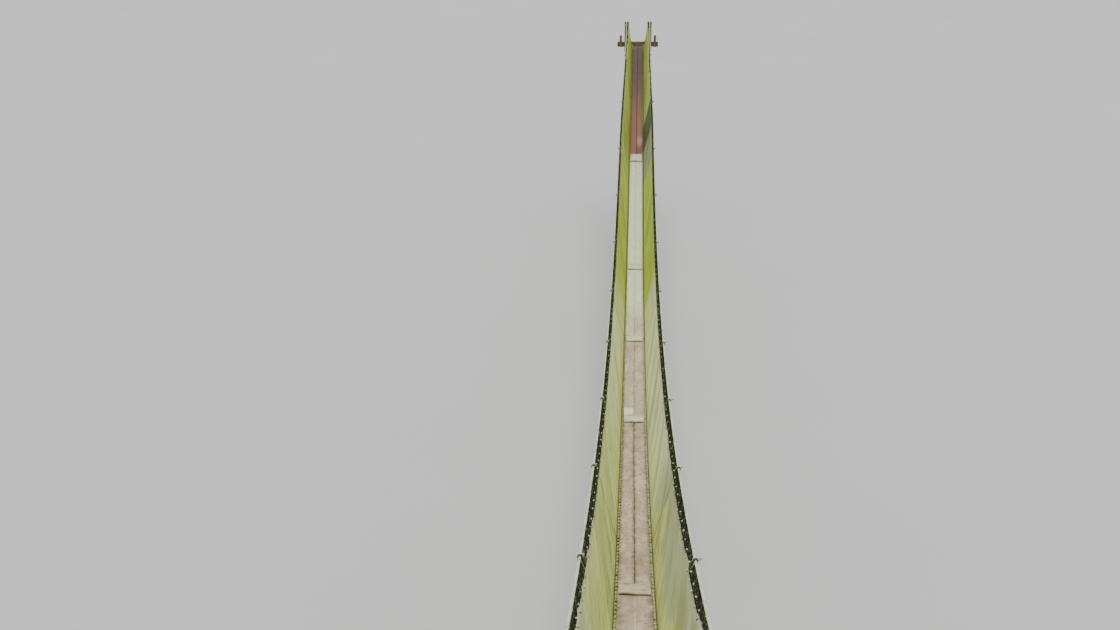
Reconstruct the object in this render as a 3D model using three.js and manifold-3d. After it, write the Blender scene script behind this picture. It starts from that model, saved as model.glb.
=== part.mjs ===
// A rope suspension footbridge over a gorge: a narrow plank deck that hangs between two banks, with
// a handrail rope and a wall of netting on each side. Millimetres, +Z up. The bridge runs along +Y,
// and the origin is the middle of the underside of the near sill, which is the level of both banks.
import * as THREE from "three";
import { mergeVertices } from "three/addons/utils/BufferGeometryUtils.js";
import Module from "manifold-3d";

// The span, from where the deck leaves one sill to where it reaches the other.
const SPAN = 34200;
const SAG = 4022;
const HALF_SPAN = SPAN / 2;

// The hangers stand evenly. Members are straight between places a quarter of a bay apart.
const HANGERS = 11;
const BAY = 3000;
const FIRST_HANGER = (SPAN - (HANGERS - 1) * BAY) / 2;
const STEP = BAY / 4;

// The walkway.
const DECK_WIDTH = 360;
const DECK_THICKNESS = 35;
const DECK_END_OVERHANG = 150;
const DECK_JOINTS = [6600, 13050, SPAN / 2, SPAN - 13050, SPAN - 6600];
const DECK_JOINT = 4;

// The handrails: height above the deck in the middle and at the ends, and how they draw in.
const HANDRAIL_RADIUS = 12.5;
const HANDRAIL_HEIGHT_MIDDLE = 1050;
const HANDRAIL_HEIGHT_END = 850;
const HANDRAIL_HALF_NEAR = 498;
const HANDRAIL_HALF_FAR = 398;
const DRAW_IN_FROM = 27000;

// The ropes along the deck's edges, which carry the lower edges of the nets.
const FOOT_ROPE_RADIUS = 12.5;
const FOOT_ROPE_X = DECK_WIDTH / 2 + 20;

// The nets, from the foot ropes out to their own top ropes, in panels that meet at hangers.
const NET_HEIGHT = 840;
const NET_THICKNESS = 4;
const NET_BELOW_FOOT_ROPE = 8;
const NET_INSIDE_HANDRAIL = 58;
const NET_ROPE_RADIUS = 6;
const NET_JOINT = 1;
const NET_PANEL_HANGERS = [3, 6, 9];
const NET_END_CLEARANCE = 5;

// The timber cross-beams under the deck, and the slings that hang them from the handrails.
const TRANSOM_LENGTH = 670;
const TRANSOM_SIDE = 60;
const SLING_RADIUS = 7;
const SLING_CLEARANCE = 0.9;

// The timbers at each bank. A rope bends a little past the edge of the timber that it rests on.
const SILL_DEPTH = 160;
const SILL_HEIGHT = 160;
const POST_SIDE = 150;
const ROPE_BEND = 90;
const ANCHOR_SETBACK = 1750;
const ANCHOR_SIDE = 180;
const ANCHOR_LENGTH = 1500;
const HANDRAIL_TIE_Z = 115;
const FOOT_ROPE_TIE_Z = 95;
const STAKE_SIDE = 90;
const STAKE_HEIGHT = 420;
const STAKE_X = 625;

// Pieces that touch keep this gap.
const SEAT = 0.3;
const ROPE_SIDES = 8;

const UPPER_NET_INSIDE_HANDRAIL = HANDRAIL_RADIUS + SEAT + NET_THICKNESS / 2;
const DECK_END_Z = SILL_HEIGHT + SEAT + DECK_THICKNESS;
const FAR_BANK = SPAN + 2 * ROPE_BEND;
const POST_HEIGHT = DECK_END_Z + HANDRAIL_HEIGHT_END - HANDRAIL_RADIUS - SEAT;

const wetTimber = new THREE.MeshStandardMaterial({ color: 0x8a6c52, roughness: 0.85, metalness: 0 });
const greyTimber = new THREE.MeshStandardMaterial({ color: 0xb8a998, roughness: 0.88, metalness: 0 });
const creamRope = new THREE.MeshStandardMaterial({ color: 0xc8d0b4, roughness: 0.9, metalness: 0 });
const greenRope = new THREE.MeshStandardMaterial({ color: 0x46562f, roughness: 0.9, metalness: 0 });
const netting = new THREE.MeshStandardMaterial({ color: 0xafb47a, roughness: 0.92, metalness: 0 });
const darkNetting = new THREE.MeshStandardMaterial({ color: 0x22281c, roughness: 0.9, metalness: 0 });

const bridge = new THREE.Group();

function add(name, geometry, material) {
  const mesh = new THREE.Mesh(geometry, material);
  mesh.name = name;
  bridge.add(mesh);
  return mesh;
}

// How far along the half span a point is: -1 at the near end, 0 in the middle, 1 at the far end.
function along(y) {
  return THREE.MathUtils.clamp((y - ROPE_BEND - HALF_SPAN) / HALF_SPAN, -1, 1);
}

function deckTop(y) {
  return DECK_END_Z - SAG * (1 - along(y) ** 2);
}

function spanSlope(y) {
  return Math.atan((2 * SAG * along(y)) / HALF_SPAN);
}

// The deck is level where it lies on the sills.
function deckSlope(y) {
  return Math.abs(along(y)) < 1 ? spanSlope(y) : 0;
}

// The height that a thickness square to the sloping deck takes up when it is measured upright.
function upright(thickness, y) {
  return thickness / Math.cos(deckSlope(y));
}

// The height of a rope's middle above what it lies along. At a bend the steeper side counts.
function ropeLift(radius, y) {
  const spans = y >= ROPE_BEND && y <= ROPE_BEND + SPAN;
  return radius / Math.cos(spans ? spanSlope(y) : 0);
}

function deckBottom(y) {
  return deckTop(y) - upright(DECK_THICKNESS, y);
}

function handrailZ(y) {
  const atEnds = along(y) ** 2;
  return deckTop(y) + THREE.MathUtils.lerp(HANDRAIL_HEIGHT_MIDDLE, HANDRAIL_HEIGHT_END, atEnds);
}

function handrailX(y) {
  const drawnIn = THREE.MathUtils.smoothstep(y - ROPE_BEND, DRAW_IN_FROM, SPAN);
  return THREE.MathUtils.lerp(HANDRAIL_HALF_NEAR, HANDRAIL_HALF_FAR, drawnIn);
}

function netTopX(y) {
  return handrailX(y) - NET_INSIDE_HANDRAIL;
}

// The places along the bridge where every member bends a little, with the hangers among them.
const hangerPlaces = Array.from({ length: HANGERS }, (_, i) => ROPE_BEND + FIRST_HANGER + i * BAY);
const stepsBeforeHanger = Math.floor(FIRST_HANGER / STEP);
const stepCount = 2 * stepsBeforeHanger + (HANGERS - 1) * (BAY / STEP) + 1;
const firstStep = hangerPlaces[0] - stepsBeforeHanger * STEP;
const steps = Array.from({ length: stepCount }, (_, i) => firstStep + i * STEP);
const spanPlaces = [ROPE_BEND, ...steps, ROPE_BEND + SPAN];

function placesBetween(start, end) {
  return [start, ...spanPlaces.filter((y) => y > start && y < end), end];
}

// A solid whose section is given, anticlockwise as seen from the near bank, at each place along Y.
// Opposite faces are cut along the same diagonals, so a thin twisted wall keeps its thickness.
function loft(places, sectionAt) {
  const sections = places.map((y) => sectionAt(y).map(([x, z]) => [x, y, z]));
  const corners = sections[0].length;
  const last = (sections.length - 1) * corners;
  const index = [];
  for (let start = 0; start < last; start += corners) {
    for (let j = 0; j < corners; j += 1) {
      const a = start + j;
      const b = start + ((j + 1) % corners);
      if (j < corners / 2) index.push(a, a + corners, b, b, a + corners, b + corners);
      else index.push(a, a + corners, b + corners, a, b + corners, b);
    }
  }
  for (let j = 1; j + 1 < corners; j += 1) {
    index.push(0, j, j + 1);
    index.push(last, last + j + 1, last + j);
  }
  const geometry = new THREE.BufferGeometry();
  geometry.setAttribute("position", new THREE.Float32BufferAttribute(sections.flat(2), 3));
  geometry.setIndex(index);
  geometry.computeVertexNormals();
  return geometry;
}

// The line of a rope through its points, where one step of the rope ends at each point.
class RopeLine extends THREE.Curve {
  constructor(points) {
    super();
    this.points = points;
  }

  getPoint(t, target = new THREE.Vector3()) {
    const place = t * (this.points.length - 1);
    const before = Math.min(Math.floor(place), this.points.length - 2);
    return target.lerpVectors(this.points[before], this.points[before + 1], place - before);
  }

  getPointAt(u, target) {
    return this.getPoint(u, target);
  }

  getTangentAt(u, target = new THREE.Vector3()) {
    const here = Math.round(u * (this.points.length - 1));
    const before = this.points[Math.max(here - 1, 0)];
    const after = this.points[Math.min(here + 1, this.points.length - 1)];
    const point = this.points[here];
    const into = point.clone().sub(before).normalize();
    const out = after.clone().sub(point).normalize();
    return target.addVectors(into, out).normalize();
  }
}

function cornerRadius(radius) {
  return radius / Math.cos(Math.PI / ROPE_SIDES);
}

function rope(points, radius) {
  const corners = Array.from({ length: ROPE_SIDES }, (_, i) => {
    const angle = ((i + 0.5) * 2 * Math.PI) / ROPE_SIDES;
    return new THREE.Vector2(Math.cos(angle), Math.sin(angle)).multiplyScalar(cornerRadius(radius));
  });
  return new THREE.ExtrudeGeometry(new THREE.Shape(corners), {
    steps: points.length - 1,
    extrudePath: new RopeLine(points),
  });
}

// Where a rope that comes down from a bend meets the upright face of its anchor.
function tiePoint(x, bend, tieZ, radius, bankY, away) {
  const face = bankY + away * (ANCHOR_SETBACK - ANCHOR_SIDE / 2);
  const fall = Math.atan2(bend.z - tieZ, Math.abs(face - bend.y));
  const y = face - away * (SEAT + cornerRadius(radius) * Math.sin(fall));
  return new THREE.Vector3(x, y, tieZ);
}

// A rope from one anchor over its timbers, along the span and down to the other anchor.
function anchoredRope(xAt, zAt, radius, tieZ) {
  const points = [-ROPE_BEND, ...spanPlaces, FAR_BANK + ROPE_BEND].map(
    (y) => new THREE.Vector3(xAt(y), y, zAt(y)),
  );
  const near = points[0];
  const far = points[points.length - 1];
  const nearTie = tiePoint(near.x, near, tieZ, radius, 0, -1);
  const farTie = tiePoint(far.x, far, tieZ, radius, FAR_BANK, 1);
  return rope([nearTie, ...points, farTie], radius);
}

function box(width, depth, height, x, y, z) {
  return new THREE.BoxGeometry(width, depth, height).translate(x, y, z + height / 2);
}

// The deck lies on the cross-beams in runs that meet end to end, and its ends lie on the sills.
const deckJoints = DECK_JOINTS.map((along) => ROPE_BEND + along);
const deckStarts = [-DECK_END_OVERHANG / 2, ...deckJoints.map((y) => y + DECK_JOINT / 2)];
const deckStops = [...deckJoints.map((y) => y - DECK_JOINT / 2), FAR_BANK + DECK_END_OVERHANG / 2];
deckStarts.forEach((start, i) => {
  const geometry = loft(placesBetween(start, deckStops[i]), (y) => [
    [-DECK_WIDTH / 2, deckBottom(y)],
    [DECK_WIDTH / 2, deckBottom(y)],
    [DECK_WIDTH / 2, deckTop(y)],
    [-DECK_WIDTH / 2, deckTop(y)],
  ]);
  add(`deck_run_${i + 1}`, geometry, greyTimber);
});

// The cross-beams lie square to the slope, and each hangs in a sling from both handrails.
hangerPlaces.forEach((y, i) => {
  const number = String(i + 1).padStart(2, "0");
  const slope = deckSlope(y);
  const drop = TRANSOM_SIDE / 2 + SEAT;
  const centreY = y + drop * Math.sin(slope);
  const centreZ = deckBottom(y) - drop * Math.cos(slope);
  const beam = new THREE.BoxGeometry(TRANSOM_LENGTH, TRANSOM_SIDE, TRANSOM_SIDE);
  const transom = add(`transom_${number}`, beam, wetTimber);
  transom.position.set(0, centreY, centreZ);
  transom.rotation.x = slope;

  const stand = SLING_RADIUS + SLING_CLEARANCE;
  const halfBeam = TRANSOM_LENGTH / 2;
  const beamTop = centreZ + upright(TRANSOM_SIDE / 2, y);
  const beamBottom = centreZ - upright(TRANSOM_SIDE / 2, y);
  const railX = handrailX(centreY);
  const railUnderside = handrailZ(centreY) - upright(HANDRAIL_RADIUS, y);
  const lean = Math.atan2(railX - halfBeam - stand, railUnderside - beamTop);
  const tilt = Math.abs(Math.tan(slope)) + Math.sin(lean);
  const topZ = railUnderside - SEAT - cornerRadius(SLING_RADIUS) * tilt;
  const corner = stand / Math.cos(Math.PI / 8) / Math.SQRT2;
  const rightHalf = [
    [halfBeam - 2, beamBottom - upright(stand, y)],
    [halfBeam + corner, beamBottom - upright(corner, y)],
    [halfBeam + stand, beamBottom + 2],
    [halfBeam + stand, beamTop],
    [railX, topZ],
  ];
  const leftHalf = rightHalf.map(([x, z]) => [-x, z]).reverse();
  const points = [...leftHalf, ...rightHalf].map(([x, z]) => new THREE.Vector3(x, centreY, z));
  add(`sling_${number}`, rope(points, SLING_RADIUS), greenRope);
});

// The ropes and the nets of the two sides.
const netJoints = NET_PANEL_HANGERS.map((count) => hangerPlaces[count - 1]);
const nearNetEnd = POST_SIDE / 2 + NET_END_CLEARANCE;
const farNetEnd = FAR_BANK - nearNetEnd;
const netStarts = [nearNetEnd, ...netJoints.map((y) => y + NET_JOINT / 2)];
const netStops = [...netJoints.map((y) => y - NET_JOINT / 2), farNetEnd];
const footRopeZ = (y) => deckBottom(y) + ropeLift(FOOT_ROPE_RADIUS, y);
const netTopZ = (y) => deckTop(y) + NET_HEIGHT;
const netRopeZ = (y) => netTopZ(y) + ropeLift(NET_ROPE_RADIUS, y) + SEAT;
const netBottomX = FOOT_ROPE_X + FOOT_ROPE_RADIUS + SEAT + NET_THICKNESS / 2;
for (const [side, hand] of [["left", -1], ["right", 1]]) {
  const handrail = anchoredRope((y) => hand * handrailX(y), handrailZ, HANDRAIL_RADIUS, HANDRAIL_TIE_Z);
  add(`handrail_rope_${side}`, handrail, creamRope);

  const footRope = anchoredRope(() => hand * FOOT_ROPE_X, footRopeZ, FOOT_ROPE_RADIUS, FOOT_ROPE_TIE_Z);
  add(`foot_rope_${side}`, footRope, creamRope);

  const netRopePlaces = placesBetween(POST_SIDE / 2 + SEAT, FAR_BANK - POST_SIDE / 2 - SEAT);
  const netRopePoints = netRopePlaces.map((y) => new THREE.Vector3(hand * netTopX(y), y, netRopeZ(y)));
  add(`net_rope_${side}`, rope(netRopePoints, NET_ROPE_RADIUS), netting);

  // The coarse upper net stands on the net's top rope and leans against the inside of the handrail.
  const upperNet = loft(placesBetween(nearNetEnd, farNetEnd), (y) => {
    const low = new THREE.Vector2(hand * netTopX(y), netRopeZ(y));
    const high = new THREE.Vector2(hand * (handrailX(y) - UPPER_NET_INSIDE_HANDRAIL), handrailZ(y));
    const rise = high.clone().sub(low).normalize();
    const half = new THREE.Vector2(rise.y, -rise.x).multiplyScalar(NET_THICKNESS / 2);
    low.addScaledVector(rise, upright(cornerRadius(NET_ROPE_RADIUS), y) + SEAT);
    const corners = [low.clone().sub(half), low.clone().add(half), high.clone().add(half), high.clone().sub(half)];
    return corners.map((corner) => corner.toArray());
  });
  add(`upper_net_${side}`, upperNet, darkNetting);

  netStarts.forEach((start, i) => {
    const geometry = loft(placesBetween(start, netStops[i]), (y) => {
      const half = NET_THICKNESS / 2;
      const bottomX = hand * netBottomX;
      const topX = hand * netTopX(y);
      const bottomZ = footRopeZ(y) - NET_BELOW_FOOT_ROPE;
      return [
        [bottomX - half, bottomZ],
        [bottomX + half, bottomZ],
        [topX + half, netTopZ(y)],
        [topX - half, netTopZ(y)],
      ];
    });
    add(`net_${side}_${i + 1}`, geometry, netting);
  });
}

// The anchors: a squared log across the path, behind two stakes that are driven into the bank.
const wasm = await Module();
wasm.setup();

function solidOf(geometry) {
  const bare = geometry.clone();
  bare.deleteAttribute("normal");
  bare.deleteAttribute("uv");
  const merged = mergeVertices(bare);
  return new wasm.Manifold(
    new wasm.Mesh({
      numProp: 3,
      vertProperties: merged.attributes.position.array,
      triVerts: new Uint32Array(merged.index.array),
    }),
  );
}

function geometryOf(solid) {
  const made = solid.getMesh();
  const geometry = new THREE.BufferGeometry();
  geometry.setAttribute("position", new THREE.BufferAttribute(made.vertProperties, 3));
  geometry.setIndex(new THREE.BufferAttribute(made.triVerts, 1));
  return geometry;
}

function anchor(bankY, away) {
  const logY = bankY + away * ANCHOR_SETBACK;
  const stakeY = logY - away * (ANCHOR_SIDE + STAKE_SIDE - 2) / 2;
  const log = solidOf(box(ANCHOR_LENGTH, ANCHOR_SIDE, ANCHOR_SIDE, 0, logY, 0));
  const stakes = [-STAKE_X, STAKE_X].map((x) =>
    solidOf(box(STAKE_SIDE, STAKE_SIDE, STAKE_HEIGHT, x, stakeY, 0)),
  );
  return geometryOf(log.add(stakes[0]).add(stakes[1]));
}

// Each bank has a sill between two posts, and the anchor behind them.
for (const [bank, bankY, away] of [["near", 0, -1], ["far", FAR_BANK, 1]]) {
  const postX = handrailX(bankY);
  const sillLength = 2 * (postX - POST_SIDE / 2 - SEAT);
  add(`${bank}_sill`, box(sillLength, SILL_DEPTH, SILL_HEIGHT, 0, bankY, 0), wetTimber);
  add(`${bank}_post_left`, box(POST_SIDE, POST_SIDE, POST_HEIGHT, -postX, bankY, 0), wetTimber);
  add(`${bank}_post_right`, box(POST_SIDE, POST_SIDE, POST_HEIGHT, postX, bankY, 0), wetTimber);
  add(`${bank}_anchor`, anchor(bankY, away), wetTimber);
}

export default bridge;
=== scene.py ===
"""A rope suspension footbridge over a gorge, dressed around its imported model.

Metres, +Z up. The bridge runs along +Y from the near sill, whose underside holds the origin.
"""

import math
import random

import bmesh
import bpy
import numpy as np
from mathutils import Matrix, Vector


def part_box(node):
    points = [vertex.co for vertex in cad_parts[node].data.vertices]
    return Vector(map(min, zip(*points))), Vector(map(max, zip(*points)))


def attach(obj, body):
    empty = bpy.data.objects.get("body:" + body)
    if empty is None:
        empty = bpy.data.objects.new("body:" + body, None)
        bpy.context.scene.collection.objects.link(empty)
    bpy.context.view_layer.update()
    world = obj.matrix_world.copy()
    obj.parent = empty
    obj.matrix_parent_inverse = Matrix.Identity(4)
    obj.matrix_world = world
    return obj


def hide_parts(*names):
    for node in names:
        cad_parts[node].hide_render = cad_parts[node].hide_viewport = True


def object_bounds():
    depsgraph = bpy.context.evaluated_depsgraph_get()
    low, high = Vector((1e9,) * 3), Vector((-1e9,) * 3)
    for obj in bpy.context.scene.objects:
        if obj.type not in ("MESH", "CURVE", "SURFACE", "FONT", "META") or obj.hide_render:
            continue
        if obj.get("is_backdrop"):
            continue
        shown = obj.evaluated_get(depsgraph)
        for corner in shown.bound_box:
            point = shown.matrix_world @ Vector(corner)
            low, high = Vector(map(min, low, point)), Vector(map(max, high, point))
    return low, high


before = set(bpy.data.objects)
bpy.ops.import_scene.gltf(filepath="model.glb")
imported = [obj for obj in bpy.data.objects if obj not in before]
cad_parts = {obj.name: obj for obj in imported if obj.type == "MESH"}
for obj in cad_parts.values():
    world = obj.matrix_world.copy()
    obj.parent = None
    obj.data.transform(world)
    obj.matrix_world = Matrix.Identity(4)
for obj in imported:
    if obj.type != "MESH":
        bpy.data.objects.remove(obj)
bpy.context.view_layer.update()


# The camera stands over the near bank, a little left of the bridge, and looks down along it. Its
# place and angles were fitted to the sag of the handrails and to the knots along them.
PICTURE_WIDTH = 1120
FOCAL_LENGTH_IN_PIXELS = 1000
SENSOR_WIDTH = 36.0
CAMERA_PLACE = Vector((-0.106, -2.144, 4.213))
LOOKS_DOWN, LOOKS_RIGHT, TILTS = (math.radians(angle) for angle in (21.29, -4.28, -0.48))

level_right = Vector((math.cos(LOOKS_RIGHT), -math.sin(LOOKS_RIGHT), 0))
ahead = Vector((math.sin(LOOKS_RIGHT), math.cos(LOOKS_RIGHT), -math.tan(LOOKS_DOWN))).normalized()
level_up = level_right.cross(ahead)
camera_right = level_right * math.cos(TILTS) + level_up * math.sin(TILTS)
camera_up = level_up * math.cos(TILTS) - level_right * math.sin(TILTS)

lens = bpy.data.cameras.new("camera")
lens.sensor_width = SENSOR_WIDTH
lens.lens = SENSOR_WIDTH * FOCAL_LENGTH_IN_PIXELS / PICTURE_WIDTH
lens.clip_end = 1000
camera = bpy.data.objects.new("camera", lens)
bpy.context.scene.collection.objects.link(camera)
camera.matrix_world = Matrix.Translation(CAMERA_PLACE) @ Matrix(
    (camera_right, camera_up, -ahead)
).transposed().to_4x4()
bpy.context.scene.camera = camera


# The studio: a pale floor well under the sag, a soft sky, and one broad lamp that shines from
# ahead and above, so that the edges that face the camera are in shade as on a cloudy noon.
FLOOR_Z = -4.9
FLOOR_REACH = 400
SKY_COLOUR = (0.96, 0.98, 1.0, 1.0)
SKY_STRENGTH = 0.85
LAMP_STRENGTH = 2.2
LAMP_SOFTNESS = math.radians(35)
LAMP_DIRECTION = Vector((-0.03, -0.45, -1.0))


def paint(red, green, blue):
    """A colour given as it looks, each channel from 0 to 255, as the light that it sends back."""
    shares = [channel / 255 for channel in (red, green, blue)]
    light = [s / 12.92 if s <= 0.04045 else ((s + 0.055) / 1.055) ** 2.4 for s in shares]
    return (*light, 1.0)


def find_socket(sockets, key):
    """A socket by its number, or by its identifier or name."""
    if isinstance(key, int):
        return sockets[key]
    return next(s for s in sockets if key in (s.identifier, s.name))


class Output:
    """An output of a node. Arithmetic on it adds Math nodes to the same tree."""

    def __init__(self, nodes, socket):
        self.nodes = nodes
        self.socket = socket

    def maths(self, operation, *terms):
        return self.nodes.node("ShaderNodeMath", {"operation": operation}, dict(enumerate(terms)))

    def __add__(self, other):
        return self.maths("ADD", self, other)

    def __sub__(self, other):
        return self.maths("SUBTRACT", self, other)

    def __rsub__(self, other):
        return self.maths("SUBTRACT", other, self)

    def __mul__(self, other):
        return self.maths("MULTIPLY", self, other)

    def __truediv__(self, other):
        return self.maths("DIVIDE", self, other)

    def __mod__(self, other):
        return self.maths("MODULO", self, other)

    def __abs__(self):
        return self.maths("ABSOLUTE", self)

    __radd__ = __add__
    __rmul__ = __mul__

    def fraction(self):
        return self.maths("FRACT", self)

    def larger(self, other):
        return self.maths("MAXIMUM", self, other)

    def smaller(self, other):
        return self.maths("MINIMUM", self, other)

    def between(self, low, high):
        """0 at low and below, 1 at high and above, and smooth between them."""
        settings = {"interpolation_type": "SMOOTHSTEP"}
        inputs = {"Value": self, "From Min": low, "From Max": high}
        return self.nodes.node("ShaderNodeMapRange", settings, inputs)


class Nodes:
    """The nodes of one material or of one modifier."""

    def __init__(self, tree):
        self.tree = tree

    def node(self, kind, settings=None, inputs=None, output=0):
        made = self.tree.nodes.new(kind)
        for name, value in (settings or {}).items():
            setattr(made, name, value)
        for key, value in (inputs or {}).items():
            socket = find_socket(made.inputs, key)
            if isinstance(value, Output):
                self.tree.links.new(value.socket, socket)
            else:
                socket.default_value = value
        return Output(self, find_socket(made.outputs, output)) if made.outputs else made

    def vector(self, x=0.0, y=0.0, z=0.0):
        return self.node("ShaderNodeCombineXYZ", None, {0: x, 1: y, 2: z})


class Finish(Nodes):
    """A material, and the nodes that give it its colour and its fine relief."""

    def __init__(self, name):
        self.material = bpy.data.materials.new(name)
        self.material.use_nodes = True
        super().__init__(self.material.node_tree)
        self.tree.nodes.clear()

    def place(self, scale=(1, 1, 1), turn=(0, 0, 0)):
        point = self.node("ShaderNodeTexCoord", output="Object")
        return self.node("ShaderNodeMapping", None, {"Vector": point, "Scale": scale, "Rotation": turn})

    def attribute(self, name):
        return self.node("ShaderNodeAttribute", {"attribute_name": name}, output="Fac")

    def axis(self, vector, letter):
        return self.node("ShaderNodeSeparateXYZ", None, {0: vector}, letter)

    def noise(self, place, scale, detail=3.0, roughness=0.55, distortion=0.0):
        inputs = {"Vector": place, "Scale": scale, "Detail": detail}
        inputs.update({"Roughness": roughness, "Distortion": distortion})
        return self.node("ShaderNodeTexNoise", None, inputs, "Fac")

    def mix(self, share, first, second, blend="MIX"):
        settings = {"data_type": "RGBA", "blend_type": blend}
        inputs = {"Factor_Float": share, "A_Color": first, "B_Color": second}
        return self.node("ShaderNodeMix", settings, inputs, "Result_Color")

    def relief(self, height, depth, strength=1.0, under=None):
        inputs = {"Height": height, "Distance": depth, "Strength": strength}
        if under:
            inputs["Normal"] = under
        return self.node("ShaderNodeBump", None, inputs)

    def done(self, colour, roughness, normal=None, **others):
        inputs = {"Base Color": colour, "Roughness": roughness}
        if normal:
            inputs["Normal"] = normal
        inputs.update({name.replace("_", " "): value for name, value in others.items()})
        surface = self.node("ShaderNodeBsdfPrincipled", None, inputs)
        self.node("ShaderNodeOutputMaterial", None, {"Surface": surface})
        return self.material


def mesh_object(name, mesh):
    made = bpy.data.objects.new(name, mesh)
    bpy.context.scene.collection.objects.link(made)
    return made


def floor_finish():
    pale = Finish("pale floor")
    cloud = pale.noise(pale.place(), 0.15, 2)
    return pale.done(pale.mix(cloud, paint(190, 191, 188), paint(198, 199, 196)), 0.9)


corners = ((-1, -1), (1, -1), (1, 1), (-1, 1))
floor_corners = [(x * FLOOR_REACH, y * FLOOR_REACH, FLOOR_Z) for x, y in corners]
floor_mesh = bpy.data.meshes.new("floor")
floor_mesh.from_pydata(floor_corners, [], [(0, 1, 2, 3)])
floor_mesh.materials.append(floor_finish())
mesh_object("floor", floor_mesh)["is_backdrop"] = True

sky = bpy.data.worlds.new("soft sky")
sky.use_nodes = True
sky.node_tree.nodes["Background"].inputs["Color"].default_value = SKY_COLOUR
sky.node_tree.nodes["Background"].inputs["Strength"].default_value = SKY_STRENGTH
bpy.context.scene.world = sky

lamp_light = bpy.data.lights.new("broad lamp", "SUN")
lamp_light.energy = LAMP_STRENGTH
lamp_light.angle = LAMP_SOFTNESS
lamp = bpy.data.objects.new("broad lamp", lamp_light)
lamp.rotation_mode = "QUATERNION"
lamp.rotation_quaternion = LAMP_DIRECTION.to_track_quat("-Z", "Y")
bpy.context.scene.collection.objects.link(lamp)


# The deck: two lines of sawn hardwood planks along the bridge, nailed to the cross-beams, and one
# broad board before the first joint. They are pinkish grey, then bleached, and wet and red at the end,
# with two painted shadow bands across them and painted shade that deepens towards the far bank.
RUNS = 6
ROPE_BEND = 0.01
PLANK_STEP = 0.085
PLANK_EDGE = 0.004
PLANK_BEVEL = 0.004
PLANK_CUP = 0.0015
PLANK_BREAKS = ((2, -1, 9.9), (3, 1, 15.4), (4, -1, 18.8), (5, 1, 24.1), (6, 1, 28.3))
PLANK_GAPS = {1: 0.003, 2: 0.004, 3: 0.001, 4: 0.0008, 5: 0.0008, 6: 0.003}
SEAM_DIRT = {1: 0.8, 2: 1.0, 3: 0.35, 4: 0.2, 5: 0.2, 6: 1.0}
BROAD_BOARD_FROM = 5.55
# Parts with a look of their own: where each starts and stops, and how softly. Where there are more of
# a kind, how strong it is comes first.
# The two bands are painted shadows of people on the deck, given the colour and gloss of wet wood.
PAINTED_SHADOW_BANDS = ((0.26, 7.2, 7.62, 0.16), (0.16, 14.8, 15.3, 0.2))
BLEACHED_PARTS = ((0.2, 13.3, 16.5, 0.4), (0.65, 18.6, 27.68, 0.9))
BARE_PATCH = (28.45, 28.9, 0.16)
DARK_PATCH = (27.85, 28.25, 0.1)
WET_FROM = 27.68

near_sill_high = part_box("near_sill")[1]
far_sill_low, far_sill_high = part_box("far_sill")
far_bank = (far_sill_low.y + far_sill_high.y) / 2
span_from = near_sill_high.y + ROPE_BEND
half_span = (far_bank - 2 * span_from) / 2
deck_end_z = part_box("deck_run_1")[1].z
deck_half_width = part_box("deck_run_1")[1].x
deck_thickness = deck_end_z - near_sill_high.z
sag = deck_end_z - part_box("deck_run_3")[0].z - deck_thickness


def along(y):
    """How far along the half span a place is: -1 at the near end and 1 at the far end."""
    return np.clip((np.asarray(y, float) - span_from - half_span) / half_span, -1, 1)


def deck_top(y):
    return deck_end_z - sag * (1 - along(y) ** 2)


def slope(y):
    """The deck's slope in radians. It is level over the sills."""
    where = along(y)
    return np.where(np.abs(where) < 1, np.arctan(2 * sag * where / half_span), 0.0)


def smooth_share(value, low, high):
    """0 at low and below, 1 at high and above, and smooth between them."""
    share = np.clip((np.asarray(value, float) - low) / (high - low), 0, 1)
    return share * share * (3 - 2 * share)


def zone(y, start, stop, soft):
    """1 from start to stop and 0 beyond them, with soft ends."""
    return smooth_share(y, start - soft, start + soft) * (1 - smooth_share(y, stop - soft, stop + soft))


def wander(places, spacing, seed):
    """Smooth random values from -1 to 1 along a line, with about one turn in each spacing."""
    knots = np.random.default_rng(seed).uniform(-1, 1, 4096)
    at = np.asarray(places, float) / spacing + 512
    whole = np.floor(at).astype(int)
    part = at - whole
    part = part * part * (3 - 2 * part)
    return knots[whole % 4096] * (1 - part) + knots[(whole + 1) % 4096] * part


class Skin:
    """Rings of points that are joined into one closed body, or into one sheet."""

    def __init__(self):
        self.points = []
        self.faces = []
        self.values = {}

    def loft(self, rings, closed=True, **values):
        """rings is an array of rings by points by 3, and each value is one number a point."""
        rings = np.asarray(rings, float)
        count, around = rings.shape[:2]
        start = len(self.points)
        self.points.extend(rings.reshape(-1, 3).tolist())
        for name, value in values.items():
            spread = np.broadcast_to(value, (count, around)).ravel().tolist()
            self.values.setdefault(name, []).extend(spread)
        for ring in range(count - 1):
            low = start + ring * around
            for i in range(around if closed else around - 1):
                j = (i + 1) % around
                self.faces.append((low + i, low + j, low + around + j, low + around + i))
        if closed:
            self.faces.append(tuple(range(start + around - 1, start - 1, -1)))
            last = start + (count - 1) * around
            self.faces.append(tuple(range(last, last + around)))

    def mesh(self, name, material):
        made = bpy.data.meshes.new(name)
        made.from_pydata(self.points, [], self.faces)
        for key, value in self.values.items():
            made.attributes.new(key, "FLOAT", "POINT").data.foreach_set("value", value)
        made.polygons.foreach_set("use_smooth", [True] * len(made.polygons))
        made.materials.append(material)
        made.update()
        return made


def solid_object(name, skin, material):
    """An object of closed bodies, with their faces turned outwards."""
    mesh = skin.mesh(name, material)
    shell = bmesh.new()
    shell.from_mesh(mesh)
    bmesh.ops.recalc_face_normals(shell, faces=shell.faces)
    shell.to_mesh(mesh)
    shell.free()
    return mesh_object(name, mesh)


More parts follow.
